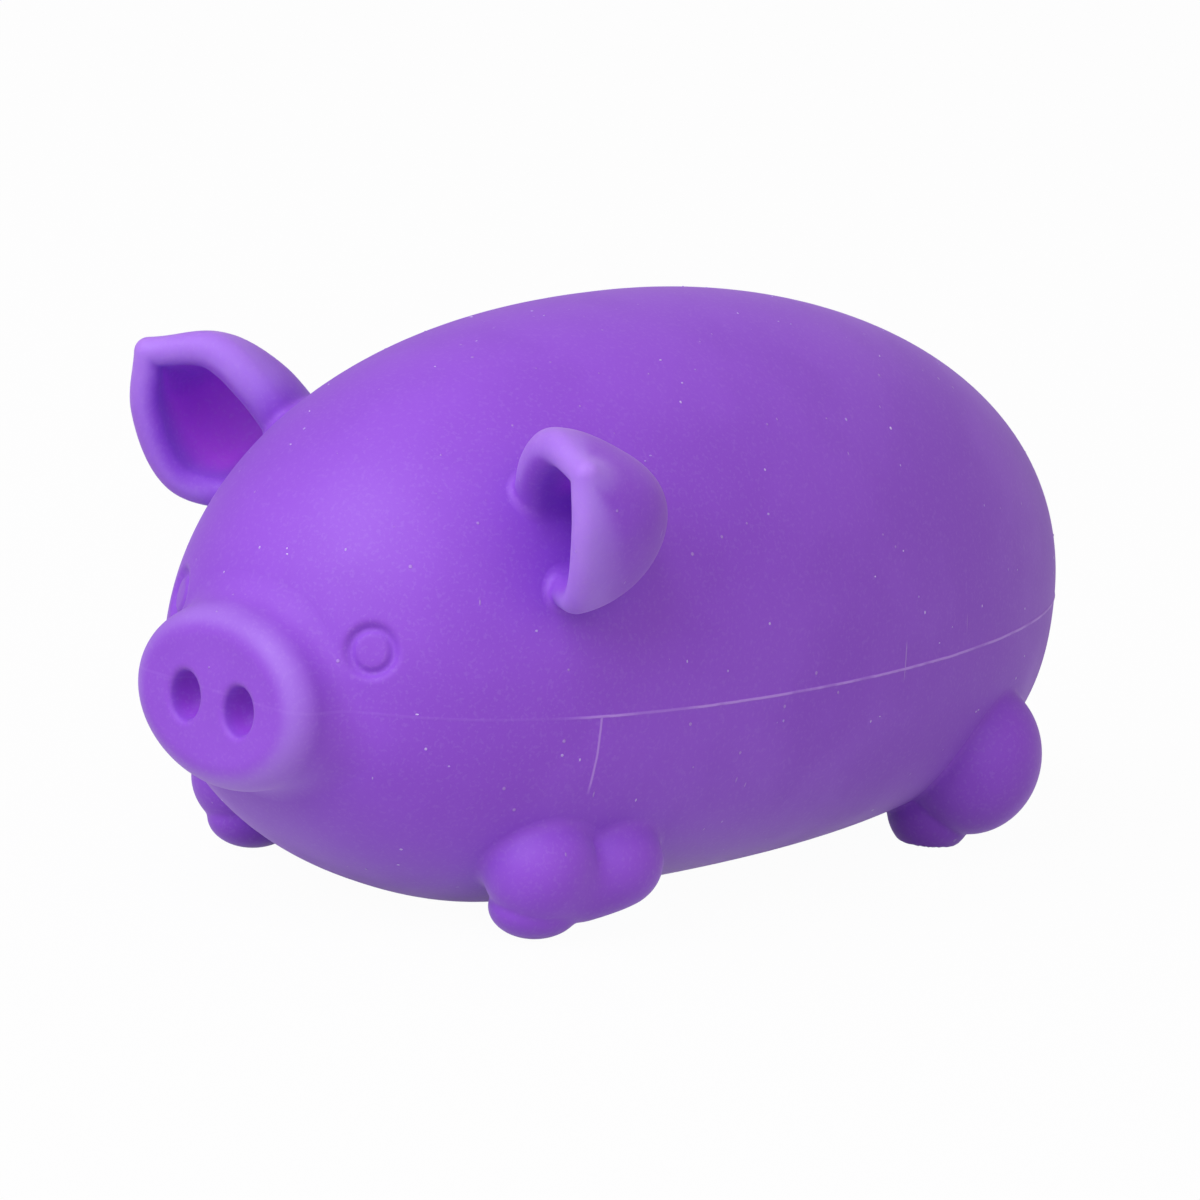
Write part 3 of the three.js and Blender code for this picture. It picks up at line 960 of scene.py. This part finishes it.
@dataclass
class Filling:
    """The dough inside the skin and the plug that closes the port."""

    dough_finish: bpy.types.Material
    plug_finish: bpy.types.Material
    inset: float = 2.85
    clearance: float = 0.3
    plug_radius: float = 4.0
    plug_face: float = -19.6
    plug_edge: float = 0.4
    gate_dimple: tuple[tuple[float, float], ...] = ((0.0, 0.25), (0.5, 0.2), (0.9, 0.02), (1.1, 0.0))
    flange_radius: float = 6.0
    flange_seat: float = -18.1
    flange_top: float = -16.9
    flange_edge: float = 0.2

    def dough(self) -> bpy.types.Object:
        """The dough, which fills the skin and lies on the plug's flange.

        Returns:
            The dough.
        """
        first, last = self.inset - EGG.front, EGG.rear - self.inset
        close = 0.05  # keeps the first and last rings off the dough's ends
        rows = first + (last - first) * (0.5 - 0.5 * np.cos(np.linspace(close, math.pi - close, 60)))
        columns = np.linspace(0, 2 * math.pi, 72, endpoint=False)
        y, angle = (v.ravel() for v in np.meshgrid(rows, columns, indexing="ij"))
        points = EGG.point(y, angle, self.inset)
        points[:, 2] = np.maximum(points[:, 2], self.flange_top + self.clearance)
        ends = np.array(((0.0, rows[0] - close, 0.0), (0.0, rows[-1] + close, 0.0)))
        faces = ring_faces(len(rows), len(columns))
        piece = make_piece("dough", np.vstack((points, ends)), faces, self.dough_finish)
        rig.replaces(piece, "dough_filling")
        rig.blend(piece, "body", "back", *BACK_FOLD)
        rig.slot(piece, "dough")
        return piece

    def profile(self) -> list[tuple[float, float]]:
        """The plug's turned outline, from the middle of its face to the middle of its flange.

        Returns:
            The radius and the height of each corner.
        """
        spots = [(radius, self.plug_face + depth) for radius, depth in self.gate_dimple]
        for turn in np.linspace(0, math.pi / 2, 6):
            spots.append((self.plug_radius - self.plug_edge + self.plug_edge * math.sin(turn),
                          self.plug_face + self.plug_edge - self.plug_edge * math.cos(turn)))
        inner = self.flange_radius - self.flange_edge
        return spots + [
            (self.plug_radius, self.flange_seat), (inner, self.flange_seat),
            (self.flange_radius, self.flange_seat + self.flange_edge),
            (self.flange_radius, self.flange_top - self.flange_edge), (inner, self.flange_top),
            (0.0, self.flange_top)]

    def plug(self) -> bpy.types.Object:
        """The plug: a turned mushroom with a rounded face and a shallow dimple from its moulding gate.

        Returns:
            The plug.
        """
        (_, face), *outline, (_, top) = self.profile()
        angles = np.linspace(0, 2 * math.pi, 72, endpoint=False)
        points = [(r * math.cos(a), PORT_Y + r * math.sin(a), z) for r, z in outline for a in angles]
        points += [(0, PORT_Y, face), (0, PORT_Y, top)]
        faces = ring_faces(len(outline), len(angles))
        piece = make_piece("plug", points, faces, self.plug_finish, crease=35)
        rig.replaces(piece, "fill_plug")
        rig.ride(piece, "body")
        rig.slot(piece, "plug_rubber")
        return piece

    def build(self) -> list[bpy.types.Object]:
        """Builds the dough and the plug."""
        return [self.dough(), self.plug()]


@dataclass(kw_only=True)
class MouldedOn:
    """A piece moulded in one with the skin: it rises out of it with a fillet and bends at its root."""

    node: str
    finish: bpy.types.Material
    parent: str = "body"
    slot: str = "skin_rubber"
    fillet: float = 1.6
    depth: float = 1.4  # how far under the skin the piece is closed
    dive: float = 0.6  # how far it sinks under the skin past its fillet
    dive_length: float = 1.3
    skirt: float = 1.4  # how far past its fillet it goes on under the skin
    clear: tuple[float, float] = (0.2, 3.0)  # distances from the skin between which light starts to pass
    step: float = 0.26
    bend_from: float = -0.3
    bend_to: float = 3.0

    def root(self) -> Root:
        """The root of the left piece."""
        raise NotImplementedError

    def form(self, points: Points) -> np.ndarray:
        """Distances to the piece's own form, before it joins the skin."""
        raise NotImplementedError

    def corners(self) -> tuple[Points, Points]:
        """Corners of the space that holds the left piece."""
        raise NotImplementedError

    def worn(self, points: Points) -> np.ndarray:
        """How pale the piece is at its points, from wear by handling and from a painted highlight on its rims."""
        return np.zeros(len(points))

    def deep(self, points: Points) -> np.ndarray:
        """How much painted shade the points get for lying in a hollow."""
        return np.zeros(len(points))

    def fillet_at(self, points: Points) -> np.ndarray:
        """How far the fillet reaches at the points."""
        return np.full(len(points), self.fillet)

    def skin(self, points: Points) -> np.ndarray:
        """Distances to the skin that the piece rises out of."""
        return EGG.distance(points)

    def distance(self, points: Points) -> np.ndarray:
        """Distances to the piece with its fillet, held between the skin and a little under it.

        Args:
            points: the points.

        Returns:
            One distance for each point, negative inside.
        """
        own = self.form(points)
        skin = self.skin(points)
        fillet = self.fillet_at(points)
        sink = SKIN_SINK + self.dive * soft_step(own, 0.96 * fillet, fillet + self.dive_length)
        joined = soft_join(own, skin + sink, fillet)
        edge = np.maximum(own - fillet - self.skirt, -(skin + self.depth))
        return np.maximum(np.maximum(joined, edge), EGG.floor - points[:, 2])

    def bend(self, side: Side) -> tuple[Place, Place]:
        """Where the bend at the root starts and ends."""
        root, mirror = self.root(), np.array((side.value, 1, 1))
        outs = (self.bend_from, self.bend_to)
        return tuple(to_shared((root.place + root.outward * out) * mirror) for out in outs)

    def build(self, *sides: Side) -> list[bpy.types.Object]:
        """Builds and dresses the piece, or one for each side.

        Args:
            *sides: the sides of a paired piece; none for a piece on the middle line.

        Returns:
            The pieces.
        """
        points, faces = surface_net(self.distance, *self.corners(), self.step)
        # shades: pale wear with a painted highlight on rims, painted shade in hollows, and how clear of the skin each
        # point stands
        shades = {"worn": self.worn(points), "deep": self.deep(points),
                  "rise": soft_step(EGG.distance(points), *self.clear)}
        made = []
        for side in sides or (Side.LEFT,):
            node = f"{self.node}_{side.name.lower()}" if sides else self.node
            piece = make_piece(node + "_form", points, faces, self.finish, side, **shades)
            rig.replaces(piece, node)
            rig.blend(piece, self.parent, node, *self.bend(side))
            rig.slot(piece, self.slot)
            made.append(piece)
        return made


@dataclass(kw_only=True)
class Snout(MouldedOn):
    """The oval snout with a rounded rim and two nostrils."""

    node: str = "snout"
    fillet: float = 2.8
    chin_fillet: float = 1.6
    eye_fillet: float = 1.5
    eye_reach: float = 5.5
    depth: float = 2.2
    face: float = -43.9
    half_width: float = 10.4
    half_height: float = 7.9
    height: float = -0.9
    rim: float = 2.7
    nostril_offset: Place = (3.2, -2.2, -0.3)
    nostril_radii: Place = (1.9, 6.4, 2.35)
    nostril_lip: float = 0.5
    bend_root: float = -37.2  # y between which the snout gives way when it is pressed in
    bend_face: float = -43.2
    space: tuple[Place, Place] = ((-17.2, -45.2, -16.0), (17.2, -25.0, 14.4))

    def root(self) -> Root:
        """The middle of the snout on the front of the egg."""
        return Root(np.array((0.0, -EGG.front, self.height)), np.array((1.0, 0, 0)),
                    np.array((0.0, -1, 0)), np.array((0.0, 0, 1)))

    def reach(self, points: Points) -> np.ndarray:
        """How far from the snout's axis the points are, 1 on its side."""
        return np.hypot(points[:, 0] / self.half_width, (points[:, 2] - self.height) / self.half_height)

    def pits(self, points: Points) -> np.ndarray:
        """Distances to the nearer nostril pit."""
        centre = np.array(self.nostril_offset) + (0, self.face, self.height)
        return ellipsoid_distance(to_left(points), centre, self.nostril_radii)

    def form(self, points: Points) -> np.ndarray:
        """Distances to the oval with its rounded rim and its nostrils.

        Args:
            points: the points.

        Returns:
            One distance for each point, negative inside.
        """
        x, y, z = points.T
        reach = self.reach(points)
        grade = np.hypot(x / self.half_width ** 2, (z - self.height) / self.half_height ** 2)
        side = (reach - 1) / np.maximum(grade / np.maximum(reach, 1e-6), 1e-3) + self.rim
        front = self.face - y + self.rim
        outside = np.hypot(np.maximum(side, 0), np.maximum(front, 0))
        oval = outside + np.minimum(np.maximum(side, front), 0) - self.rim
        return -soft_join(-oval, self.pits(points), self.nostril_lip)

    def worn(self, points: Points) -> np.ndarray:
        """Pale on the rim, for wear and a painted highlight."""
        behind = points[:, 1] - self.face
        return soft_step(self.reach(points), 0.74, 0.9) * (1 - soft_step(behind, 0.6, 3.2))

    def fillet_at(self, points: Points) -> np.ndarray:
        """The fillet is tight beside the eyes, which it leaves clear, and under the chin."""
        base = self.fillet - (self.fillet - self.chin_fillet) * soft_step(-points[:, 2], 4.0, 9.0)
        return base - (base - self.eye_fillet) * np.exp(-((Eyes().away(points) / self.eye_reach) ** 4))

    def skin(self, points: Points) -> np.ndarray:
        """Distances to the face with its eyes."""
        return EGG.distance(points) + Eyes().depth(points)

    def deep(self, points: Points) -> np.ndarray:
        """Painted shade deep in the nostrils."""
        inside = 1 - soft_step(self.pits(points), 0.1, self.nostril_lip)
        return 0.5 * inside * soft_step(points[:, 1] - self.face, 0.1, 1.6)

    def corners(self) -> tuple[Points, Points]:
        """Corners of the space round the snout."""
        return np.array(self.space[0]), np.array(self.space[1])

    def bend(self, side: Side) -> tuple[Place, Place]:
        """Where the snout starts to give way and where it moves as a whole."""
        return to_shared((0, self.bend_root, 0)), to_shared((0, self.bend_face, 0))


@dataclass(frozen=True)
class Lobe:
    """A round lobe of a foot: its offset from the root, its three radii, and how wide its crease is."""

    offset: Place
    radii: Place
    crease: float = 0.0


@dataclass(kw_only=True)
class Foot(MouldedOn):
    """A foot of a few round lobes that run into each other."""

    y: float
    rise: float
    lobes: tuple[Lobe, ...]

    def root(self) -> Root:
        """The root of the left foot, at a height over the floor."""
        return EGG.root(self.y, EGG.angle_at(self.y, EGG.floor + self.rise))

    def form(self, points: Points) -> np.ndarray:
        """Distances to the joined lobes.

        Args:
            points: the points.

        Returns:
            One distance for each point, negative inside.
        """
        start = self.root().place
        first, *others = self.lobes
        joined = ellipsoid_distance(points, start + first.offset, first.radii)
        for lobe in others:
            own = ellipsoid_distance(points, start + lobe.offset, lobe.radii)
            joined = soft_join(joined, own, lobe.crease)
        return joined

    def corners(self) -> tuple[Points, Points]:
        """Corners of the space round the lobes.

        Returns:
            The lowest and the highest corner.
        """
        spots = self.root().place + np.array([lobe.offset for lobe in self.lobes])
        radii = np.array([lobe.radii for lobe in self.lobes])
        spare = self.fillet + 2.2
        low, high = (spots - radii).min(0) - spare, (spots + radii).max(0) + spare
        low[2] = EGG.floor - 0.8
        return low, high


@dataclass(kw_only=True)
class Ear(MouldedOn):
    """A cupped leaf ear: a bowed sheet between two rims and a keel, thick at its upper rim.

    The rims, the keel and the tip are in the root's frame: forward, out of the skin, and up.
    """

    node: str = "ear"
    slot: str = "ear_rubber"
    parent: str = "back"
    fillet: float = 0.9
    bend_from: float = 0.2
    bend_to: float = 5.0
    y: float = -18.7
    angle: float = 0.62
    tip: Place = (6.9, 12.2, 1.9)
    upper_rim: tuple[Place, ...] = ((3.0, -3.5, 2.0), (5.1, 3.0, 5.3), (5.8, 7.4, 5.7))
    keel: tuple[Place, ...] = ((-3.7, -3.5, -0.4), (-3.0, 4, -0.6), (-0.4, 9, -0.2))
    lower_rim: tuple[Place, ...] = ((3.0, -3.5, -3.2), (5.9, 4.2, -6.5), (7.0, 9.7, -2.7))
    upper_half: float = 1.75  # half thicknesses
    lower_half: float = 1.35
    sheet_half: float = 1.2
    tip_half: float = 1.3

    def __post_init__(self) -> None:
        """Lays the ear's middle sheet as a cloud of close points that distances are measured from."""
        share, turn = (v.ravel() for v in np.meshgrid(np.linspace(0, 1, 110), np.linspace(0, math.pi, 190)))
        upper, keel, lower = (
            self.curve((*line, self.tip), share) for line in (self.upper_rim, self.keel, self.lower_rim))
        middle = (upper + lower) / 2
        across, inwards = np.cos(turn)[:, None], np.sin(turn)[:, None]
        sheet = middle + (upper - lower) / 2 * across + (keel - middle) * inwards
        self.cloud = self.root().placed(sheet)
        inward = self.root().placed(middle) - self.cloud
        self.inward = inward / np.maximum(np.linalg.norm(inward, axis=1), 0.5)[:, None]
        beside_rim = 1 - soft_step(np.minimum(turn, math.pi - turn), 0.0, 0.5)
        self.edge = np.maximum(beside_rim, soft_step(share, 0.85, 1.0))
        at_upper = 1 - soft_step(turn, 0.05, 0.85)
        at_lower = soft_step(turn, math.pi - 0.75, math.pi - 0.05)
        thick = self.sheet_half + (self.upper_half - self.sheet_half) * at_upper + (
            self.lower_half - self.sheet_half) * at_lower
        self.half = thick + (self.tip_half - thick) * soft_step(share, 0.55, 0.93)
        self.finder = KDTree(len(self.cloud))
        for index, point in enumerate(self.cloud):
            self.finder.insert(point, index)
        self.finder.balance()

    @staticmethod
    def curve(spots: tuple[Place, ...], share: np.ndarray) -> Points:
        """Points of a centripetal curve.

        Args:
            spots: places that the curve passes through.
            share: how far along it each point is, from 0 to 1.

        Returns:
            One point for each share.
        """
        spots = np.asarray(spots, float)
        line = np.vstack((2 * spots[0] - spots[1], spots, 2 * spots[-1] - spots[-2]))
        place = share * (len(spots) - 1)
        index = np.minimum(place.astype(int), len(spots) - 2)
        weight = (place - index)[:, None]
        a, b, c, d = (line[index + i] for i in range(4))
        first, span, last = (
            np.sqrt(np.linalg.norm(q - p, axis=1))[:, None] for p, q in ((a, b), (b, c), (c, d)))
        start = ((b - a) / first - (c - a) / (first + span) + (c - b) / span) * span
        end = ((c - b) / span - (d - b) / (span + last) + (d - c) / last) * span
        return b + start * weight + (3 * (c - b) - 2 * start - end) * weight ** 2 + (
            2 * (b - c) + start + end) * weight ** 3

    def root(self) -> Root:
        """The root of the left ear, high on the head."""
        return EGG.root(self.y, self.angle)

    def form(self, points: Points) -> np.ndarray:
        """Distances to the sheet with its thickness."""
        index, away = zip(*(self.finder.find(point)[1:] for point in points))
        return np.array(away) - self.half[list(index)]

    def hollow(self, points: Points) -> tuple[np.ndarray, np.ndarray]:
        """How near the rims the points are, and how far they face into the hollow."""
        index = [self.finder.find(point)[1] for point in points]
        return self.edge[index], ((points - self.cloud[index]) * self.inward[index]).sum(1)

    def worn(self, points: Points) -> np.ndarray:
        """Pale along the outside of both rims and at the tip, for wear and a painted highlight."""
        edge, inner = self.hollow(points)
        return edge * (1 - soft_step(inner, 0.1, 1.0)) * soft_step(EGG.distance(points), 0.5, 3.5)

    def deep(self, points: Points) -> np.ndarray:
        """Painted shade on the inner side of the sheet, clear of its rims, with a glow painted in for light passing
        through the thin rubber.
        """
        edge, inner = self.hollow(points)
        return (1 - edge) * soft_step(inner, 0.2, 1.0) * soft_step(EGG.distance(points), 1.0, 3.0) * 0.9

    def corners(self) -> tuple[Points, Points]:
        """Corners of the space round the ear."""
        spare = self.upper_half + self.fillet + 2.0
        return self.cloud.min(0) - spare, self.cloud.max(0) + spare


@dataclass(kw_only=True)
class Tail(MouldedOn):
    """A small curled tail at the rump."""

    node: str = "tail"
    fillet: float = 1.4
    bend_from: float = 0.0
    bend_to: float = 2.0
    height: float = -2.0
    cord: float = 0.98  # radius of the tail itself
    curl: float = 1.5
    turns: float = 1.1
    reach: float = 2.6
    wall: float = 2.5

    def root(self) -> Root:
        """The root at the rear end of the body, just under the parting plane."""
        return Root(np.array((0.0, EGG.rear, self.height)), np.array((0.0, 0, 1)),
                    np.array((0.0, 1, 0)), np.array((-1.0, 0, 0)))

    def path(self) -> Points:
        """Points along the curl, which widens as it starts and is all the way out after most of a turn.

        Returns:
            The points, from the root to the end.
        """
        share = np.linspace(0, 1, 260)
        turn = 2 * math.pi * self.turns * share
        radius = self.curl * np.minimum(1, 0.35 + share)
        start = -self.wall / 2
        out = start + (self.reach - self.cord - start) * np.minimum(1, 1.6 * share)
        return self.root().placed(np.stack((radius * np.sin(turn), out, -radius * np.cos(turn)), axis=1))

    def form(self, points: Points) -> np.ndarray:
        """Distances to the curled cord, thinner towards its end.

        Args:
            points: the points.

        Returns:
            One distance for each point, negative inside.
        """
        path = self.path()
        nearest = np.full(len(points), np.inf)
        for spot, radius in zip(path, self.cord * np.linspace(1.05, 0.8, len(path))):
            nearest = np.minimum(nearest, np.linalg.norm(points - spot, axis=1) - radius)
        return nearest

    def corners(self) -> tuple[Points, Points]:
        """Corners of the space round the tail."""
        path, spare = self.path(), 5.2
        return path.min(0) - spare, path.max(0) + spare


@dataclass
class DustSpecks:
    """Dust flecks scattered over the skin by a Geometry Nodes tree."""

    finish: bpy.types.Material
    density: float = 15000.0  # flecks on a square metre
    radius: float = 0.00014  # metres
    least: Place = (0.45, 0.45, 0.25)  # smallest and largest share of that size along a fleck's axes
    most: Place = (1.25, 1.25, 0.5)
    seed: int = 7

    def tree(self) -> bpy.types.NodeTree:
        """Builds the tree: points on the faces, a flattened fleck on each, made real.

        Returns:
            The tree, with a named input for each size.
        """
        tree = bpy.data.node_groups.new("dust_on_rubber", "GeometryNodeTree")
        for label, way, kind in (
                ("Surface", "INPUT", "Geometry"), ("Density", "INPUT", "Float"),
                ("Fleck radius", "INPUT", "Float"), ("Seed", "INPUT", "Int"),
                ("Flecks", "OUTPUT", "Geometry")):
            tree.interface.new_socket(label, in_out=way, socket_type="NodeSocket" + kind)
        given = tree.nodes.new("NodeGroupInput").outputs
        spread = add_node(tree, "GeometryNodeDistributePointsOnFaces", {
            "Mesh": given["Surface"], "Density": given["Density"], "Seed": given["Seed"]})
        fleck = add_node(tree, "GeometryNodeMeshIcoSphere", {
            "Radius": given["Fleck radius"], "Subdivisions": 1})
        size = add_node(tree, "FunctionNodeRandomValue", {
            0: self.least, 1: self.most, "Seed": given["Seed"]}, data_type="FLOAT_VECTOR")
        laid = add_node(tree, "GeometryNodeInstanceOnPoints", {
            "Points": spread.outputs["Points"], "Instance": fleck.outputs["Mesh"],
            "Rotation": spread.outputs["Rotation"], "Scale": size})
        real = add_node(tree, "GeometryNodeRealizeInstances", (laid,))
        dressed = add_node(tree, "GeometryNodeSetMaterial", {"Geometry": real, "Material": self.finish})
        add_node(tree, "NodeGroupOutput", (dressed,))
        return tree

    def scatter(self, tree: bpy.types.NodeTree, carrier: bpy.types.Object, seed: int) -> bpy.types.Object:
        """Lays flecks on a copy of a skin part and makes them a plain mesh.

        Args:
            tree: the tree from tree().
            carrier: the skin part that carries them.
            seed: the random seed.

        Returns:
            The flecks.
        """
        flecks = add_object("dust_on_" + carrier.name, carrier.data.copy())
        maker = flecks.modifiers.new("dust", "NODES")
        maker.node_group = tree
        given = {"Density": self.density, "Fleck radius": self.radius, "Seed": seed}
        for item in tree.interface.items_tree:
            if item.in_out == "INPUT" and item.name in given:
                maker[item.identifier] = given[item.name]
        plain_mesh(flecks, maker)
        return flecks

    def build(self, face: bpy.types.Object, rear: bpy.types.Object,
              face_fold: tuple[Place, Place]) -> list[bpy.types.Object]:
        """Scatters flecks on both skin parts, each folding with its carrier.

        Args:
            face: the face part of the skin.
            rear: the rear part.
            face_fold: where the face's fold starts and ends.

        Returns:
            The flecks of both parts.
        """
        tree = self.tree()
        on_face, on_rear = self.scatter(tree, face, self.seed), self.scatter(tree, rear, self.seed + 1)
        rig.blend(on_face, "body", "back", *face_fold)
        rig.blend(on_rear, "body", "back", *BACK_FOLD)
        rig.slot(on_face, "skin_rubber")
        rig.slot(on_rear, "skin_rubber")
        return [on_face, on_rear]


@dataclass(frozen=True)
class Lamp:
    """A square lamp that looks at the toy: its place and size in metres, its power and its colour."""

    name: str
    place: Place
    size: float
    watts: float
    colour: str = "ffffff"
    aim: Place = (0, 0, 0.02)

    def build(self) -> None:
        """Adds the lamp to the scene."""
        data = bpy.data.lights.new(self.name, "AREA")
        data.shape, data.size, data.energy = "SQUARE", self.size, self.watts
        data.color = linear(self.colour)[:3]
        lamp = add_object(self.name, data)
        lamp.location = self.place
        lamp.rotation_euler = (Vector(self.place) - Vector(self.aim)).to_track_quat("Z", "Y").to_euler()


@dataclass
class Studio:
    """The pale floor, the soft lights and the camera at the photograph's angle."""

    azimuth: float = 42.47
    elevation: float = 12.594
    roll: float = 5.009
    distance: float = 0.9  # metres
    scale: float = 11.451  # pixels for each millimetre
    width: float = 1200.0  # pixels across the picture
    aim: Place = (0.327, 3.0, 2.967)
    sensor: float = 36.0
    floor_half: float = 12.0  # metres
    lamps: tuple[Lamp, ...] = (Lamp("key_lamp", (-0.03, -0.75, 0.79), 1.0, 10.8, "f4f2ff"),
                               Lamp("side_lamp", (0.8, -0.2, 0.45), 0.6, 1.15))

    def camera(self) -> None:
        """Places the camera."""
        a, e, r = (math.radians(v) for v in (self.azimuth, self.elevation, self.roll))
        back = Vector((math.sin(a) * math.cos(e), -math.cos(a) * math.cos(e), math.sin(e)))
        right = (-back).cross(Vector((0, 0, 1))).normalized()
        up = right.cross(-back)
        x_axis = math.cos(r) * right + math.sin(r) * up
        y_axis = -math.sin(r) * right + math.cos(r) * up
        data = bpy.data.cameras.new("photo_camera")
        data.sensor_width = self.sensor
        data.lens = self.scale * self.distance * 1000 / self.width * self.sensor
        data.clip_start, data.clip_end = 0.05, 60.0
        camera = add_object("photo_camera", data)
        place = Matrix((x_axis, y_axis, back)).transposed().to_4x4()
        place.translation = Vector(to_shared(self.aim)) + back * self.distance
        camera.matrix_world = place
        bpy.context.scene.camera = camera

    def floor(self) -> None:
        """Lays the pale floor, which shows almost white to the camera and keeps the toy's shadow."""
        material = blank_material("pale_floor")
        tree = material.node_tree
        matt = add_node(tree, "ShaderNodeBsdfDiffuse", (linear("cfcdd0"),))
        white = add_node(tree, "ShaderNodeEmission", (linear("ffffff"), 1.0))
        path = add_node(tree, "ShaderNodeLightPath").outputs
        rays = (path["Is Camera Ray"], path["Is Glossy Ray"])
        seen = add_node(tree, "ShaderNodeMath", rays, operation="MAXIMUM")
        share = add_node(tree, "ShaderNodeMath", (seen, 0.97), operation="MULTIPLY")
        mixed = add_node(tree, "ShaderNodeMixShader", (share, matt, white))
        add_node(tree, "ShaderNodeOutputMaterial", (mixed,))
        half = self.floor_half
        mesh = bpy.data.meshes.new("floor")
        corners = [(-half, -half, 0), (half, -half, 0), (half, half, 0), (-half, half, 0)]
        mesh.from_pydata(corners, [], [(0, 1, 2, 3)])
        mesh.materials.append(material)
        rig.stage(add_object("floor", mesh))

    def world(self) -> None:
        """Sets the world: soft light all round, and white where the camera looks."""
        world = bpy.data.worlds.new("studio")
        bpy.context.scene.world = world
        world.use_nodes = True
        tree = world.node_tree
        tree.nodes.clear()
        soft = add_node(tree, "ShaderNodeBackground", (linear("fff3f7"), 0.43))
        white = add_node(tree, "ShaderNodeBackground", (linear("ffffff"), 1.0))
        path = add_node(tree, "ShaderNodeLightPath")
        mixed = add_node(tree, "ShaderNodeMixShader", (path.outputs["Is Camera Ray"], soft, white))
        add_node(tree, "ShaderNodeOutputWorld", (mixed,))

    def build(self) -> None:
        """Builds the studio."""
        self.camera()
        self.floor()
        self.world()
        for lamp in self.lamps:
            lamp.build()
        bpy.context.scene.view_settings.view_transform = "Standard"


FRONT_LOBES = (
    Lobe((-0.70, -3.40, -0.30), (4.8, 5.1, 4.9)),
    Lobe((0.50, 4.00, -0.40), (4.4, 4.8, 4.2), 0.9),
    Lobe((-0.50, 0.50, -1.90), (4.4, 5.4, 3.6), 1.2),
    Lobe((-1.30, -2.95, -3.90), (3.6, 4.4, 2.8), 0.25),
)
REAR_LOBES = (
    Lobe((0.2, 0.5, 1.0), (6.3, 6.6, 7.1)),
    Lobe((-2.3, -1.25, -4.15), (3.9, 4.0, 4.2), 0.2),
)


def main() -> None:
    """Builds the toy piece by piece and reports each."""
    logging.basicConfig(level=logging.INFO, format="%(name)s %(message)s")
    Studio().build()
    # the hollow colours are painted shade in the nostrils, and painted shade and glow in the ears' hollows
    skin_rubber = MouldedRubber("skin_rubber", hollow_colour="9a34ca", parting=True).make()
    foot_rubber = MouldedRubber("foot_rubber").make()
    ear_rubber = MouldedRubber(
        "ear_rubber", worn_colour="bc98f0", hollow_colour="c254e8", subsurface=0.5).make()
    plug_rubber = MouldedRubber("plug_rubber", colour="6f36b4", deep_colour="642fa6", roughness=0.6).make()
    skin = Skin(skin_rubber)
    face, rear = skin.build()
    pieces = [face, rear, *Filling(FillingDough().make(), plug_rubber).build()]
    pieces += Snout(finish=skin_rubber).build()
    pieces += Ear(finish=ear_rubber).build(*Side)
    front = Foot(node="foot_front", finish=foot_rubber, y=-17.2, rise=6.6, fillet=1.0, lobes=FRONT_LOBES)
    hind = Foot(node="foot_rear", finish=foot_rubber, y=38.6, rise=7.2, fillet=0.5, lobes=REAR_LOBES)
    pieces += front.build(*Side) + hind.build(*Side)
    pieces += Tail(finish=foot_rubber).build()
    pieces += DustSpecks(DustFluff().make()).build(face, rear, skin.face_fold())
    for piece in pieces:
        log.info("%s: %d faces", piece.name, len(piece.data.polygons))
    low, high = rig.bounds()
    with open("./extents.json", "w") as out:
        json.dump({"cad": [list(CAD_BOX[0]), list(CAD_BOX[1])], "visual": [list(low), list(high)]}, out)


if __name__ == "__main__":
    main()
